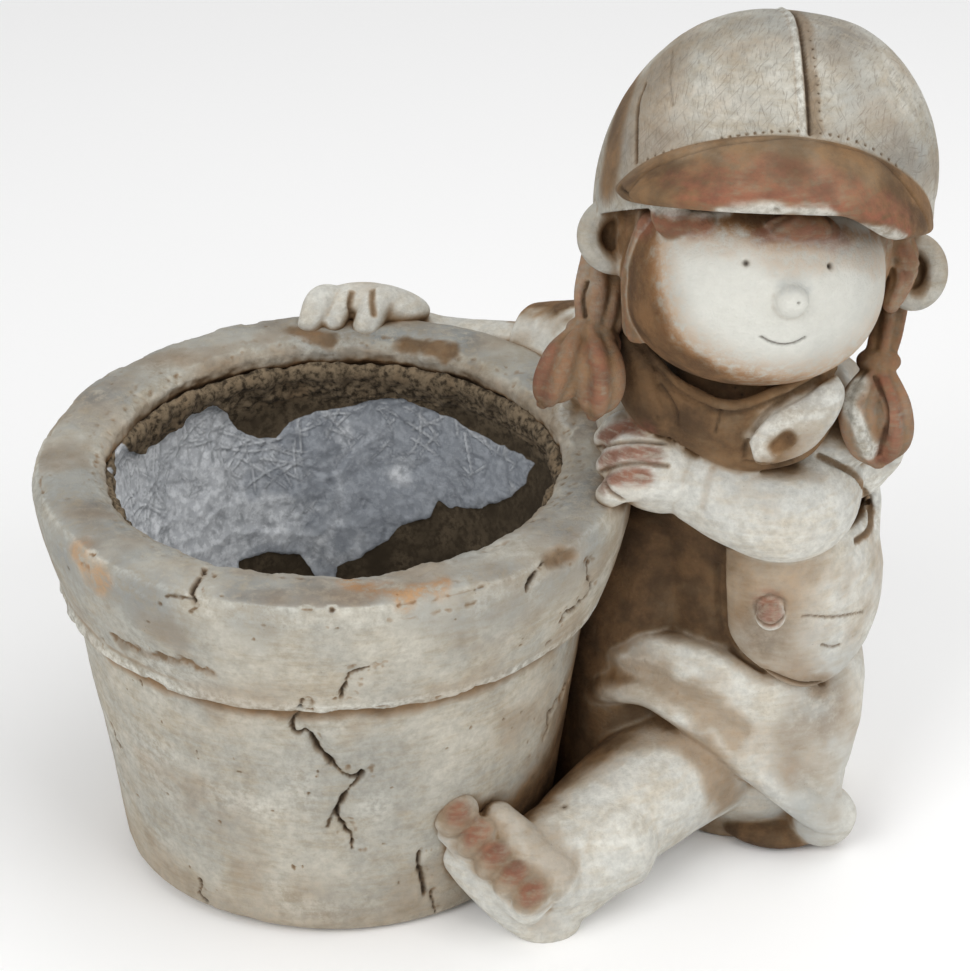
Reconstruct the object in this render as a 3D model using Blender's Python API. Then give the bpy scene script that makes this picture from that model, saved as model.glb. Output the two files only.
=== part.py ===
# Child with flowerpot statue: one hollow cast garden ornament of a child in a cap,
# sitting against a round flowerpot with both hands on its rim and one foot at its base.
# Metres, Z up. The origin is the centre of the pot's underside; the child sits to +X
# and the side the child faces is -Y.
import math

import bmesh
import bpy
import numpy as np
from mathutils import Euler

# Pot
POT_HEIGHT = 0.220
RIM_RADIUS = 0.150
BASE_RADIUS = 0.110
BAND_HEIGHT = 0.066
BAND_STEP = 0.006
LIP_WIDTH = 0.036
WALL = 0.017
FLOOR = 0.024
RIM_FLARE = 0.003
POT_SEGMENTS = 72

# Figure
FIGURE_HEIGHT = 0.450
FIGURE_TRIANGLES = 6500
UNIT = FIGURE_HEIGHT / 450

# Plan sizes the figure was laid out round, in figure units
PLAN_RIM = 150
PLAN_BASE = 110
PLAN_POT = 220

for old in list(bpy.data.objects):
    bpy.data.objects.remove(old, do_unlink=True)


def unit(v):
    """Vectors divided by their lengths."""
    v = np.asarray(v, float)
    return v / np.maximum(np.linalg.norm(v, axis=-1, keepdims=True), 1e-9)


def path(points, count):
    """Smooth curve through a few points (Catmull-Rom), resampled evenly."""
    p = np.asarray(points, float)
    if p.ndim == 1:
        p = p[:, None]
    if len(p) == 2:
        t = np.linspace(0, 1, count)[:, None]
        return p[0] * (1 - t) + p[1] * t
    q = np.vstack([2 * p[0] - p[1], p, 2 * p[-1] - p[-2]])
    s = np.linspace(0, len(p) - 1 - 1e-9, count)
    i = s.astype(int)
    f = (s - i)[:, None]
    a, b, c, d = q[i], q[i + 1], q[i + 2], q[i + 3]
    return 0.5 * (2 * b + (c - a) * f + (2 * a - 5 * b + 4 * c - d) * f ** 2
                  + (3 * b - a - 3 * c + d) * f ** 3)


def rest(points):
    """Figure units to metres, with what touches the pot carried to the pot as sized."""
    p = np.array(points, float) * UNIT
    reach = np.maximum(np.hypot(p[..., 0], p[..., 1]), 1e-9)
    near = np.clip((190 * UNIT - reach) / (50 * UNIT), 0, 1)
    near = near * near * (3 - 2 * near)
    tall = POT_HEIGHT / (PLAN_POT * UNIT)
    level = np.clip(p[..., 2] / (PLAN_POT * UNIT), 0, 1)
    rim = RIM_RADIUS - PLAN_RIM * UNIT
    base = BASE_RADIUS - PLAN_BASE * UNIT
    grow = (base + (rim - base) * level) * np.minimum(reach / (PLAN_RIM * UNIT), 1)
    p[..., 0] *= 1 + grow / reach
    p[..., 1] *= 1 + grow / reach
    p[..., 2] *= 1 + near * (tall - 1)
    return p


def posed(origin, yaw, pitch, roll):
    """Frame of the head: turned by yaw, lifted by pitch, leant by roll."""
    y, x, r = (math.radians(a) for a in (yaw, -pitch, roll))
    turn = (Euler((0, 0, y)).to_matrix() @ Euler((x, 0, 0)).to_matrix()
            @ Euler((0, r, 0)).to_matrix())
    matrix = np.array(turn)
    return lambda p: np.asarray(p, float) @ matrix.T + np.asarray(origin, float)


class Clay:
    """Closed rounded shells gathered in one mesh, to be fused afterwards."""

    def __init__(self):
        self.bm = bmesh.new()

    def rings(self, grid):
        """Skin a stack of rings (rows of points) and close both ends."""
        rows = [[self.bm.verts.new(p) for p in ring] for ring in rest(grid)]
        count = len(rows[0])
        faces = []
        for low, high in zip(rows, rows[1:]):
            for k in range(count):
                m = (k + 1) % count
                faces.append(self.bm.faces.new((low[k], low[m], high[m], high[k])))
        faces.append(self.bm.faces.new(rows[0][::-1]))
        faces.append(self.bm.faces.new(rows[-1]))
        bmesh.ops.recalc_face_normals(self.bm, faces=faces)

    def ball(self, centre, radii=(1, 1, 1), turn=(0, 0, 0), axes=None, frame=None,
             power=2.0, nu=32, nv=20):
        """Ellipsoid, squarer when power is over 2, on turned or given half axes."""
        t = np.linspace(0.02, math.pi - 0.02, nv)[:, None]
        a = np.linspace(0, 2 * math.pi, nu, endpoint=False)[None, :]
        d = np.stack([np.sin(t) * np.cos(a), np.sin(t) * np.sin(a),
                      np.cos(t) + 0 * a], -1)
        d = d / (np.abs(d) ** power).sum(-1, keepdims=True) ** (1 / power)
        p = d @ np.asarray(axes, float) if axes is not None else d * np.asarray(radii, float)
        r = np.array(Euler([math.radians(x) for x in turn]).to_matrix())
        p = p @ r.T + np.asarray(centre, float)
        self.rings(frame(p) if frame else p)

    def limb(self, points, radii, side=(0, 0, 1), cap=(1.0, 1.0), frame=None,
             count=22, nu=24):
        """Tube of changing oval section along a curve, with rounded ends."""
        c = path(points, count)
        r = path([(q, q) if np.isscalar(q) else q for q in radii], count)
        t = unit(np.gradient(c, axis=0))
        s = unit(np.asarray(side, float) - (t @ np.asarray(side, float))[:, None] * t)
        w = np.cross(t, s)
        a = np.linspace(0, 2 * math.pi, nu, endpoint=False)
        rows = []

        def ring(i, scale, shift):
            """One oval of the tube, scaled and moved along the curve."""
            return (c[i] + t[i] * shift + scale * (r[i, 0] * np.cos(a)[:, None] * s[i]
                                                   + r[i, 1] * np.sin(a)[:, None] * w[i]))
        for k in np.linspace(0.08, math.pi / 2, 6)[:-1]:
            rows.append(ring(0, math.sin(k), -math.cos(k) * cap[0] * r[0].mean()))
        rows += [ring(i, 1, 0) for i in range(count)]
        for k in np.linspace(math.pi / 2, 0.08, 6)[:0:-1][::-1][1:]:
            rows.append(ring(-1, math.sin(k), math.cos(k) * cap[1] * r[-1].mean()))
        rows.append(ring(-1, math.sin(0.08), math.cos(0.08) * cap[1] * r[-1].mean()))
        g = np.array(rows)
        self.rings(frame(g) if frame else g)

    def sheet(self, fn, thick, nu=40, nv=14, frame=None, power=6):
        """Thick cloth on fn(u, v), its edges rounded like a flattened pillow."""
        a = np.linspace(0, 2 * math.pi, 4 * nv, endpoint=False)
        su, k = np.meshgrid(np.linspace(0.004, 0.996, nu), a, indexing="ij")
        cv, sv = np.cos(k), np.sin(k)
        v = 0.5 + 0.5 * np.sign(cv) * np.abs(cv) ** (2 / power)
        side = np.sign(sv) * np.abs(sv) ** 0.6
        end = (1 - np.abs(2 * su - 1) ** power) ** 0.5
        e = 1e-3
        uu, vv = np.clip(su, e, 1 - e), np.clip(v, e, 1 - e)
        p = fn(su, np.clip(v, 0, 1))
        n = unit(np.cross(fn(uu + e, vv) - fn(uu - e, vv), fn(uu, vv + e) - fn(uu, vv - e)))
        h = thick(su, v) if callable(thick) else thick
        p = p + n * (0.5 * h * side * end)[..., None]
        self.rings(frame(p) if frame else p)

    def drape(self, top, bottom, thick, bulge, about, nu=40, nv=12, power=6):
        """Cloth between two edge curves, swelling away from the point 'about'."""
        first, last = path(top, 121), path(bottom, 121)

        def fn(u, v):
            """Point of the cloth at u along and v down."""
            k = np.clip(u, 0, 1) * 120
            i = np.minimum(k.astype(int), 119)
            f = (k - i)[..., None]
            m = ((first[i] * (1 - f) + first[i + 1] * f) * (1 - v[..., None])
                 + (last[i] * (1 - f) + last[i + 1] * f) * v[..., None])
            w = bulge(u, v) if callable(bulge) else bulge * np.sin(math.pi * v)
            return m + unit(m - np.asarray(about, float)) * w[..., None]
        self.sheet(fn, thick, nu=nu, nv=nv, power=power)

    def object(self, name):
        """The gathered shells as an object."""
        mesh = bpy.data.meshes.new(name)
        self.bm.to_mesh(mesh)
        self.bm.free()
        made = bpy.data.objects.new(name, mesh)
        bpy.context.scene.collection.objects.link(made)
        return made


def head(clay):
    """Face, hair, cap with a drooping brim, and ears, in the leaning head's frame."""
    on = posed((207, -8, 371), 12, 20, 7)
    clay.ball((-8, -17, -45), (61, 60, 51), frame=on, power=2.2)
    clay.ball((-2, 8, -24), (69, 70, 64), frame=on)
    t = np.linspace(0.03, 1, 24)[:, None]
    a = np.linspace(0, 2 * math.pi, 48, endpoint=False)[None, :]
    t = t * np.radians(99 + 8 * np.sin(a))
    lean = 5 * np.sin(np.clip(t, 0, math.pi / 2)) ** 2 * np.cos(t)
    dome = np.stack([80 * np.sin(t) * np.cos(a) + 5 * np.cos(t) + lean,
                     82 * np.sin(t) * np.sin(a), 86 * np.cos(t) - 7], -1)
    inner = dome[::-1] * np.array([0.9, 0.9, 0.86])
    clay.rings(on(np.vstack([dome, inner[:3]])))

    def brim(u, v):
        """Brim from its seam on the cap out and down to its edge."""
        phi = np.radians(-3 + 73 * (2 * u - 1))
        wide = np.clip(1 - np.abs(2 * u - 1) ** 2.4, 0, 1)
        dip = np.clip((phi - 0.05) / 0.4, 0, 1)
        seam = -40 + 60 * np.cos(phi) - 7 * np.sin(phi)
        edge = -14 - 11 * dip * dip * (3 - 2 * dip) - 8 * (1 - wide)
        r = 75 + 33 * wide * v ** 0.9
        z = seam + (edge - seam) * v ** 1.25
        return np.stack([r * np.sin(phi), -r * np.cos(phi), z], -1)
    clay.sheet(brim, lambda u, v: 12 - 3 * v, nu=44, frame=on, power=8)

    for s, c in ((-1, (-73, 12, -30)), (1, (80, 4, -42))):
        ring = [np.array(c) + (s * (2 + 8 * math.cos(k)), -5, 13 * math.sin(k))
                for k in np.radians(np.linspace(-130, 150, 8))]
        clay.limb(ring, (6, 7, 7, 7, 7, 7, 6.5, 6), side=(0, 1, 0), frame=on)
        clay.ball(c, (13, 6, 15), frame=on, nu=20, nv=14)
    clay.ball((2, -66, -17), (24, 10, 9), turn=(20, 0, 8), frame=on)
    clay.ball((-46, -50, -17), (20, 11, 10), frame=on)
    clay.limb([(54, -34, -24), (60, -26, -46), (60, -14, -66)], (13, 14, 13), frame=on)
    clay.limb([(-64, -26, -22), (-68, -16, -46), (-64, -8, -70)], (12, 13, 13), frame=on)


def braids(clay):
    """Two tied bunches of hair hanging over the collar."""
    clay.limb([(141, -14, 330), (134, -24, 316), (130, -28, 303)], (13, 14, 10))
    clay.ball((132, -30, 300), (11, 10, 7))
    clay.limb([(131, -30, 299), (120, -38, 289), (106, -42, 278), (96, -44, 270)],
              (10, 15, 14, 5), side=(1, 0, 0))
    clay.limb([(134, -30, 298), (130, -40, 284), (128, -46, 272), (126, -46, 262)],
              (10, 15, 12, 4), side=(1, 0, 0))
    clay.limb([(271, 2, 322), (266, -12, 305), (261, -26, 290)], (12, 12, 10))
    clay.ball((260, -28, 286), (11, 10, 6))
    clay.limb([(259, -30, 284), (258, -42, 268), (260, -46, 252), (263, -46, 238),
               (265, -44, 227)], ((9, 8), (16, 12), (17, 13), (11, 9), (3, 3)),
              side=(1, 0, 0))


def torso(clay):
    """Chest, neck and the mass that joins the child to the pot."""
    clay.limb([(216, 22, 26), (215, 20, 60), (211, 16, 110), (209, 10, 160), (207, 6, 205),
               (206, 4, 240), (206, 2, 262)],
              ((54, 54), (57, 58), (56, 53), (54, 47), (53, 43), (47, 38), (36, 32)),
              side=(1, 0, 0), cap=(0.5, 0.6), nu=36)
    clay.limb([(144, 14, 8), (148, 15, 60), (153, 14, 120), (164, 10, 182)],
              ((36, 46), (36, 46), (33, 42), (26, 32)), side=(1, 0, 0), cap=(0.3, 0.6))
    clay.limb([(202, -4, 250), (202, -8, 300)], (45, 42), side=(1, 0, 0), cap=(0.3, 0.3))
    clay.limb([(203, 28, 262), (205, 30, 300), (207, 34, 330)], ((46, 26), (47, 31), (50, 36)),
              side=(1, 0, 0), cap=(0.8, 0.3))
    clay.ball((164, 12, 236), (34, 40, 34))
    clay.ball((240, 14, 232), (32, 38, 34))


def collar(clay):
    """Shirt collar and jacket lapels."""
    about = (206, 30, 250)
    edges = (
        ([(154, -24, 292), (168, -44, 282), (187, -54, 271)],
         [(160, -30, 264), (172, -48, 254), (190, -54, 238)], 7, 3),
        ([(189, -54, 269), (218, -54, 272), (247, -36, 284)],
         [(201, -54, 236), (222, -54, 253), (244, -42, 268)], 7, 3),
        ([(138, -10, 300), (141, -28, 299), (150, -42, 299), (160, -50, 300)],
         [(142, -16, 264), (148, -34, 258), (160, -47, 256), (169, -52, 256)], 9, 4),
        ([(201, -62, 252), (214, -62, 264), (230, -58, 274), (242, -50, 286)],
         [(199, -60, 241), (214, -62, 243), (230, -58, 248), (244, -46, 262)], 10, 5),
    )
    for top, bottom, thick, bulge in edges:
        clay.drape(top, bottom, thick, bulge, about, nu=24, nv=9)


def jacket(clay):
    """Open jacket: the rounded front flap, the back and its button."""
    clay.drape([(193, -44, 190), (213, -50, 194), (237, -46, 194), (256, -26, 190),
                (266, 4, 185), (261, 40, 180)],
               [(198, -40, 144), (210, -44, 126), (233, -44, 109), (254, -34, 114),
                (268, -8, 126), (266, 34, 116)],
               lambda u, v: 10 + 4 * v, 5, (208, 14, 150), power=7)
    clay.drape([(262, 6, 252), (246, 38, 256), (208, 50, 258), (168, 42, 256),
                (150, 16, 248)],
               [(270, 0, 124), (262, 50, 114), (213, 72, 108), (158, 62, 112),
                (140, 34, 116)],
               lambda u, v: 10 + 3 * v, 9, (208, 14, 180), power=8)
    clay.ball((210, -53, 152), (8.5, 5, 8.5), turn=(-15, 0, 0), nu=20, nv=12)


def arms(clay):
    """Near arm with its hand on the rim; far arm reaching round to the back rim."""
    clay.limb([(184, -44, 224), (200, -48, 216), (222, -48, 210), (238, -40, 211),
               (247, -24, 216), (247, -4, 226)], (22, 24, 26, 27, 27, 26))
    clay.ball((160, -37, 229), (30, 25, 25), turn=(0, 14, 0))
    for y, z, r in ((-19, 246, 7.5), (-31, 241, 8), (-42, 232, 8), (-51, 221, 7.5)):
        clay.limb([(166, y, z), (152, y, z + 1), (140, y, z), (133, y + 1, z - 5)],
                  (r, r, r, r * 0.85), count=12, nu=16)
    clay.limb([(234, 4, 246), (242, -6, 236), (248, -18, 226)],
              ((33, 28), (34, 31), (34, 32)), side=(1, 0, 0), cap=(1, 0.2))
    c = np.array([247, -22, 224.0])
    t = unit(np.array([0.1, -0.8, -0.5]))
    s = unit(np.cross(t, (0, 0, 1)))
    w = np.cross(t, s)
    clay.limb([c + s * 32 * math.cos(k) + w * 30 * math.sin(k)
               for k in np.linspace(0, 2 * math.pi, 17)], (6,) * 17, side=tuple(t), count=48)
    clay.limb([(170, 34, 234), (154, 76, 226), (130, 112, 216), (104, 132, 208)],
              ((32, 29), (32, 29), (29, 27), (26, 25)), cap=(1, 0.3))
    clay.limb([(122, 120, 208), (86, 139, 202), (50, 152, 201), (24, 154, 212)],
              (20, 18, 16, 14))
    clay.ball((8, 148, 223), (25, 17, 12))
    for x, z in ((-14, 225), (-1, 228), (12, 228)):
        clay.limb([(x + 10, 150, z), (x, 140, z + 1), (x - 6, 131, z - 6)],
                  (7.5, 7.5, 6.5), count=12, nu=16)


def skirt(clay):
    """Dress spread over the lap with a rolled hem, and the seat under it."""
    waist = [(148, 4, 116), (162, -16, 121), (187, -27, 121), (216, -32, 115),
             (242, -26, 108), (260, -6, 108), (268, 24, 108)]
    hem = [(133, -14, 84), (143, -27, 96), (160, -35, 98), (180, -40, 86), (201, -42, 68),
           (227, -44, 46), (247, -45, 31), (257, -38, 24)]

    def swell(u, v):
        """How far the cloth lifts over the thigh."""
        return (11 * np.sin(math.pi * np.clip(v * 1.3, 0, 1)) * (1 - 0.2 * u)
                + 2 * np.sin(u * 13 + 1) * v)
    clay.drape(waist, hem, lambda u, v: 11 + 4 * v, swell, (208, 20, 30), nu=56, nv=14)
    clay.limb(hem, (8, 9, 9, 9, 9, 9, 10, 12), count=40, nu=16)
    clay.ball((253, -34, 22), (15, 14, 16))
    clay.ball((134, -44, 22), (20, 24, 24))
    clay.ball((218, 6, 46), (46, 46, 56))
    clay.ball((184, 0, 66), (42, 32, 42))
    clay.ball((230, -6, 8), (36, 38, 12))
    clay.limb([(212, 30, 4), (213, 28, 40), (212, 22, 100)], ((58, 58), (58, 57), (55, 50)),
              side=(1, 0, 0), cap=(0.1, 0.3), nu=36)


def leg(clay):
    """Bare leg out to the pot's base, and the foot standing on its heel."""
    clay.limb([(198, -6, 48), (174, -27, 46), (149, -52, 42), (126, -74, 36)],
              (35, 34, 32, 29))
    a, b = np.array([24, -19, -14.0]), np.array([-20, -4, 26.0])
    n = unit(np.cross(a, b))
    if n[2] < 0:
        n = -n
    clay.ball((87, -97, 28), axes=[a * 0.92, b, n * 21], power=2.6)
    clay.ball((104, -86, 22), (24, 23, 22))
    clay.ball((80, -93, 22), (25, 19, 26))
    clay.limb([(126, -76, 34), (110, -88, 36), (94, -98, 34)], (28, 25, 20))
    first, last = np.array([59, -93, 60.0]), np.array([97, -122, 37.0])
    for k in range(5):
        p = first + (last - first) * k / 4
        r = 9.4 - 0.5 * k
        clay.limb([p - b * 0.35 + n * 3, p, p + b * 0.08 - n * 4], (r, r, r * 0.9),
                  count=10, nu=16)


def lathe(name, profile, flare=0.0):
    """Solid turned from (radius, height) pairs, flared a little to -X above the band."""
    bm = bmesh.new()
    band = POT_HEIGHT - BAND_HEIGHT
    rows = []
    for r, z in profile:
        lift = min(max((z - band) / BAND_HEIGHT, 0), 1)
        row = []
        for k in range(POT_SEGMENTS):
            a = 2 * math.pi * k / POT_SEGMENTS
            q = r - flare * lift * math.cos(a)
            row.append(bm.verts.new((q * math.cos(a), q * math.sin(a), z)))
        rows.append(row)
    for low, high in zip(rows, rows[1:]):
        for k in range(POT_SEGMENTS):
            m = (k + 1) % POT_SEGMENTS
            bm.faces.new((low[k], low[m], high[m], high[k]))
    bm.faces.new(rows[0][::-1])
    bm.faces.new(rows[-1])
    bmesh.ops.recalc_face_normals(bm, faces=bm.faces)
    mesh = bpy.data.meshes.new(name)
    bm.to_mesh(mesh)
    bm.free()
    made = bpy.data.objects.new(name, mesh)
    bpy.context.scene.collection.objects.link(made)
    return made


def outer_profile():
    """Outside of the pot from its underside to the middle of the rim's top."""
    band = POT_HEIGHT - BAND_HEIGHT
    slope = (RIM_RADIUS - BAND_STEP - 0.014 - BASE_RADIUS) / band
    wall = [(BASE_RADIUS + slope * z, z) for z in (0.024, band - 0.006)]
    under = wall[-1][0]
    return ([(BASE_RADIUS - 0.006, 0), (BASE_RADIUS - 0.001, 0.004)] + wall
            + [(under + 0.001, band), (under + BAND_STEP, band + 0.003),
               (RIM_RADIUS - 0.007, band + BAND_HEIGHT * 0.3),
               (RIM_RADIUS - 0.0015, band + BAND_HEIGHT * 0.62),
               (RIM_RADIUS, POT_HEIGHT - 0.009), (RIM_RADIUS - 0.003, POT_HEIGHT - 0.002),
               (RIM_RADIUS - 0.010, POT_HEIGHT), (RIM_RADIUS - LIP_WIDTH * 0.6, POT_HEIGHT)])


def cavity_profile():
    """Inside of the pot from its floor up through the mouth."""
    mouth = RIM_RADIUS - LIP_WIDTH
    top = BASE_RADIUS + (RIM_RADIUS - BASE_RADIUS) * 0.8 - WALL
    return [(BASE_RADIUS - WALL - 0.010, FLOOR), (BASE_RADIUS - WALL, FLOOR + 0.008),
            (top, POT_HEIGHT - 0.030), (top + 0.001, POT_HEIGHT - 0.022),
            (mouth, POT_HEIGHT - 0.012), (mouth, POT_HEIGHT - 0.006),
            (mouth + 0.006, POT_HEIGHT - 0.0015), (mouth + 0.010, POT_HEIGHT + 0.002),
            (mouth + 0.010, POT_HEIGHT + 0.060)]


def apply(made, kind, **settings):
    """Add one modifier with its settings and apply it."""
    modifier = made.modifiers.new(kind.lower(), kind)
    for key, value in settings.items():
        setattr(modifier, key, value)
    bpy.context.view_layer.objects.active = made
    with bpy.context.temp_override(object=made, active_object=made):
        bpy.ops.object.modifier_apply(modifier=modifier.name)


def combine(made, other, operation):
    """Exact Boolean with another object, which is then removed."""
    bpy.context.view_layer.update()
    apply(made, "BOOLEAN", object=other, operation=operation, solver="EXACT")
    bpy.data.objects.remove(other, do_unlink=True)


def main_shell(made):
    """Weld slivers, triangulate and keep only the largest shell of the mesh."""
    bm = bmesh.new()
    bm.from_mesh(made.data)
    bmesh.ops.remove_doubles(bm, verts=bm.verts, dist=0.00001)
    bmesh.ops.dissolve_degenerate(bm, edges=bm.edges, dist=0.00001)
    bmesh.ops.triangulate(bm, faces=bm.faces)
    for attempt in range(4):
        bad = {v for e in bm.edges if len(e.link_faces) != 2 for v in e.verts}
        if not bad:
            break
        bmesh.ops.delete(bm, geom=list(bad), context="VERTS")
        rim = [e for e in bm.edges if len(e.link_faces) == 1]
        filled = bmesh.ops.holes_fill(bm, edges=rim, sides=0)
        bmesh.ops.triangulate(bm, faces=filled["faces"])
    seen, shells = set(), []
    for start in bm.verts:
        if start in seen:
            continue
        seen.add(start)
        shell, stack = [], [start]
        while stack:
            v = stack.pop()
            shell.append(v)
            for e in v.link_edges:
                o = e.other_vert(v)
                if o not in seen:
                    seen.add(o)
                    stack.append(o)
        shells.append(shell)
    shells.sort(key=len)
    for shell in shells[:-1]:
        bmesh.ops.delete(bm, geom=shell, context="VERTS")
    bmesh.ops.recalc_face_normals(bm, faces=bm.faces)
    bm.to_mesh(made.data)
    bm.free()


clay = Clay()
for shape in (head, braids, torso, collar, jacket, arms, skirt, leg):
    shape(clay)
figure = clay.object("figure")
apply(figure, "REMESH", mode="VOXEL", voxel_size=0.0026 * FIGURE_HEIGHT / 0.450)
apply(figure, "SMOOTH", factor=0.5, iterations=4)
figure.data.calc_loop_triangles()
apply(figure, "DECIMATE", ratio=FIGURE_TRIANGLES / len(figure.data.loop_triangles))
main_shell(figure)

statue = lathe("child_with_flowerpot", outer_profile(), RIM_FLARE)
combine(statue, figure, "UNION")
combine(statue, lathe("cavity", cavity_profile(), RIM_FLARE), "DIFFERENCE")
bm = bmesh.new()
bmesh.ops.create_cube(bm, size=1.0)
for v in bm.verts:
    v.co.z -= 0.5
ground_mesh = bpy.data.meshes.new("ground")
bm.to_mesh(ground_mesh)
bm.free()
ground = bpy.data.objects.new("ground", ground_mesh)
bpy.context.scene.collection.objects.link(ground)
combine(statue, ground, "DIFFERENCE")
main_shell(statue)

stone = bpy.data.materials.new("weathered_stone")
stone.use_nodes = True
shader = stone.node_tree.nodes["Principled BSDF"]
shader.inputs["Base Color"].default_value = (0.47, 0.43, 0.36, 1.0)
shader.inputs["Roughness"].default_value = 0.85
statue.data.materials.clear()
statue.data.materials.append(stone)
for face in statue.data.polygons:
    face.material_index = 0
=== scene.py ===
"""Weathered garden statue: a child in a peaked cap leaning on a round flowerpot.

The casting is dressed in four closed shells that stand for the one CAD solid: the pot, the
fibre and plaster lining left inside it, the child's body, and the head with its cap and
bunches of hair. Lengths in this file are millimetres until a mesh is written. The origin is
the centre of the pot's underside, the child sits to +X and faces -Y.
"""
import logging
import math
from dataclasses import dataclass, field
from enum import Enum
from typing import Callable, Optional, Sequence, Union

import bpy
import numpy as np
from mathutils import Euler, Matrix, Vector
from mathutils.bvhtree import BVHTree


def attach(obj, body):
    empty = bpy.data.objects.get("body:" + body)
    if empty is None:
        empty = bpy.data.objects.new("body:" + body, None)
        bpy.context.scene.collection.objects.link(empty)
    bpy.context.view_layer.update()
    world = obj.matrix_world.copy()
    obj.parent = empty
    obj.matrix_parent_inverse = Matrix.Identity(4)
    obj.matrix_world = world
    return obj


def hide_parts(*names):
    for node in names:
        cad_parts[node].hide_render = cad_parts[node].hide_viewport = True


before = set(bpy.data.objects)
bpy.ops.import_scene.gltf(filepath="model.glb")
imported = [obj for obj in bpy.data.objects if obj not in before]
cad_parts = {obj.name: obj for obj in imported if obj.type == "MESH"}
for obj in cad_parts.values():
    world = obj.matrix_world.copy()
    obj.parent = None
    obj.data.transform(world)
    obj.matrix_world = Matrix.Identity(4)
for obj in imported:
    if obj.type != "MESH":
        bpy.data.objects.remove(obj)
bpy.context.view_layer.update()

LOG = logging.getLogger("statue")
MM = 0.001
NODE = "child_with_flowerpot"
Array = np.ndarray
Frame = Callable[[Array], Array]
Spots = Sequence[tuple[float, float]]
LAYERS = ("tone", "mark", "grain")


# Curves, frames and noise

def unit(v: Array) -> Array:
    """Divide each vector by its length."""
    v = np.asarray(v, float)
    return v / np.maximum(np.linalg.norm(v, axis=-1, keepdims=True), 1e-9)


def ease(x: Array) -> Array:
    """Ramp from 0 to 1 with level ends: 3x^2 - 2x^3 on x held within 0 and 1."""
    x = np.clip(x, 0, 1)
    return x * x * (3 - 2 * x)


def path(points: Sequence, count: int) -> Array:
    """Run a Catmull-Rom curve through a few points.

    Args:
        points: Points of any dimension, or plain numbers.
        count: How many samples to take, evenly in the parameter.
    Returns:
        Array of samples, one row each.
    """
    p = np.asarray(points, float)
    p = p[:, None] if p.ndim == 1 else p
    if len(p) == 2:
        t = np.linspace(0, 1, count)[:, None]
        return p[0] * (1 - t) + p[1] * t
    q = np.vstack([2 * p[0] - p[1], p, 2 * p[-1] - p[-2]])
    s = np.linspace(0, len(p) - 1 - 1e-9, count)
    i = s.astype(int)
    f = (s - i)[:, None]
    a, b, c, d = q[i], q[i + 1], q[i + 2], q[i + 3]
    return 0.5 * (2 * b + (c - a) * f + (2 * a - 5 * b + 4 * c - d) * f ** 2
                  + (3 * b - a - 3 * c + d) * f ** 3)


def even(points: Array, step: float) -> Array:
    """Walk a polyline and drop a sample every step along its length."""
    run = np.r_[0, np.cumsum(np.linalg.norm(np.diff(points, axis=0), axis=1))]
    s = np.linspace(0, run[-1], max(2, int(run[-1] / step) + 1))
    return np.stack([np.interp(s, run, points[:, k]) for k in range(points.shape[1])], 1)


def posed(origin: Sequence[float], yaw: float, pitch: float, roll: float) -> Frame:
    """Frame of the head: p goes to Rz(yaw) Rx(-pitch) Ry(roll) p + origin."""
    y, x, r = (math.radians(a) for a in (yaw, -pitch, roll))
    turn = np.array(Euler((0, 0, y)).to_matrix() @ Euler((x, 0, 0)).to_matrix()
                    @ Euler((0, r, 0)).to_matrix())
    return lambda p: np.asarray(p, float) @ turn.T + np.asarray(origin, float)


def noise(p: Array, size: float, seed: int = 0, octaves: int = 3) -> Array:
    """Value noise between -1 and 1, summed over octaves of half size and half strength.

    Each lattice corner's value is an integer hash of its cell, and a point blends its
    eight corners with eased weights.
    """
    total, weight, reach = np.zeros(p.shape[:-1]), 1.0, 0.0
    for octave in range(octaves):
        q = p / size * 2 ** octave + 31.7 * (seed + 1) + 7.3 * octave
        cell = np.floor(q)
        f = ease(q - cell)
        cell = cell.astype(np.int64)
        value = np.zeros(p.shape[:-1])
        for corner in range(8):
            o = np.array([corner & 1, corner >> 1 & 1, corner >> 2 & 1])
            c = cell + o
            h = (c[..., 0] * 374761393 + c[..., 1] * 668265263 + c[..., 2] * 1442695041
                 + seed * 974634777) & 0xFFFFFFFF
            h = ((h ^ (h >> 13)) * 1274126177) & 0xFFFFFFFF
            h = (h ^ (h >> 16)) & 0xFFFF
            w = np.prod(np.where(o == 1, f, 1 - f), axis=-1)
            value += w * (h / 32767.5 - 1)
        total += weight * value
        reach += weight
        weight *= 0.5
    return total / reach


# Shells of clay

class Region(Enum):
    """Kinds of surface on the casting; the value is the column in the region weights."""
    SKIN = 0
    FACE = 1
    HAIR = 2
    CAP = 3
    BRIM = 4
    SHIRT = 5
    JACKET = 6
    DRESS = 7
    SKIRT = 8
    TOUCHED = 9


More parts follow.
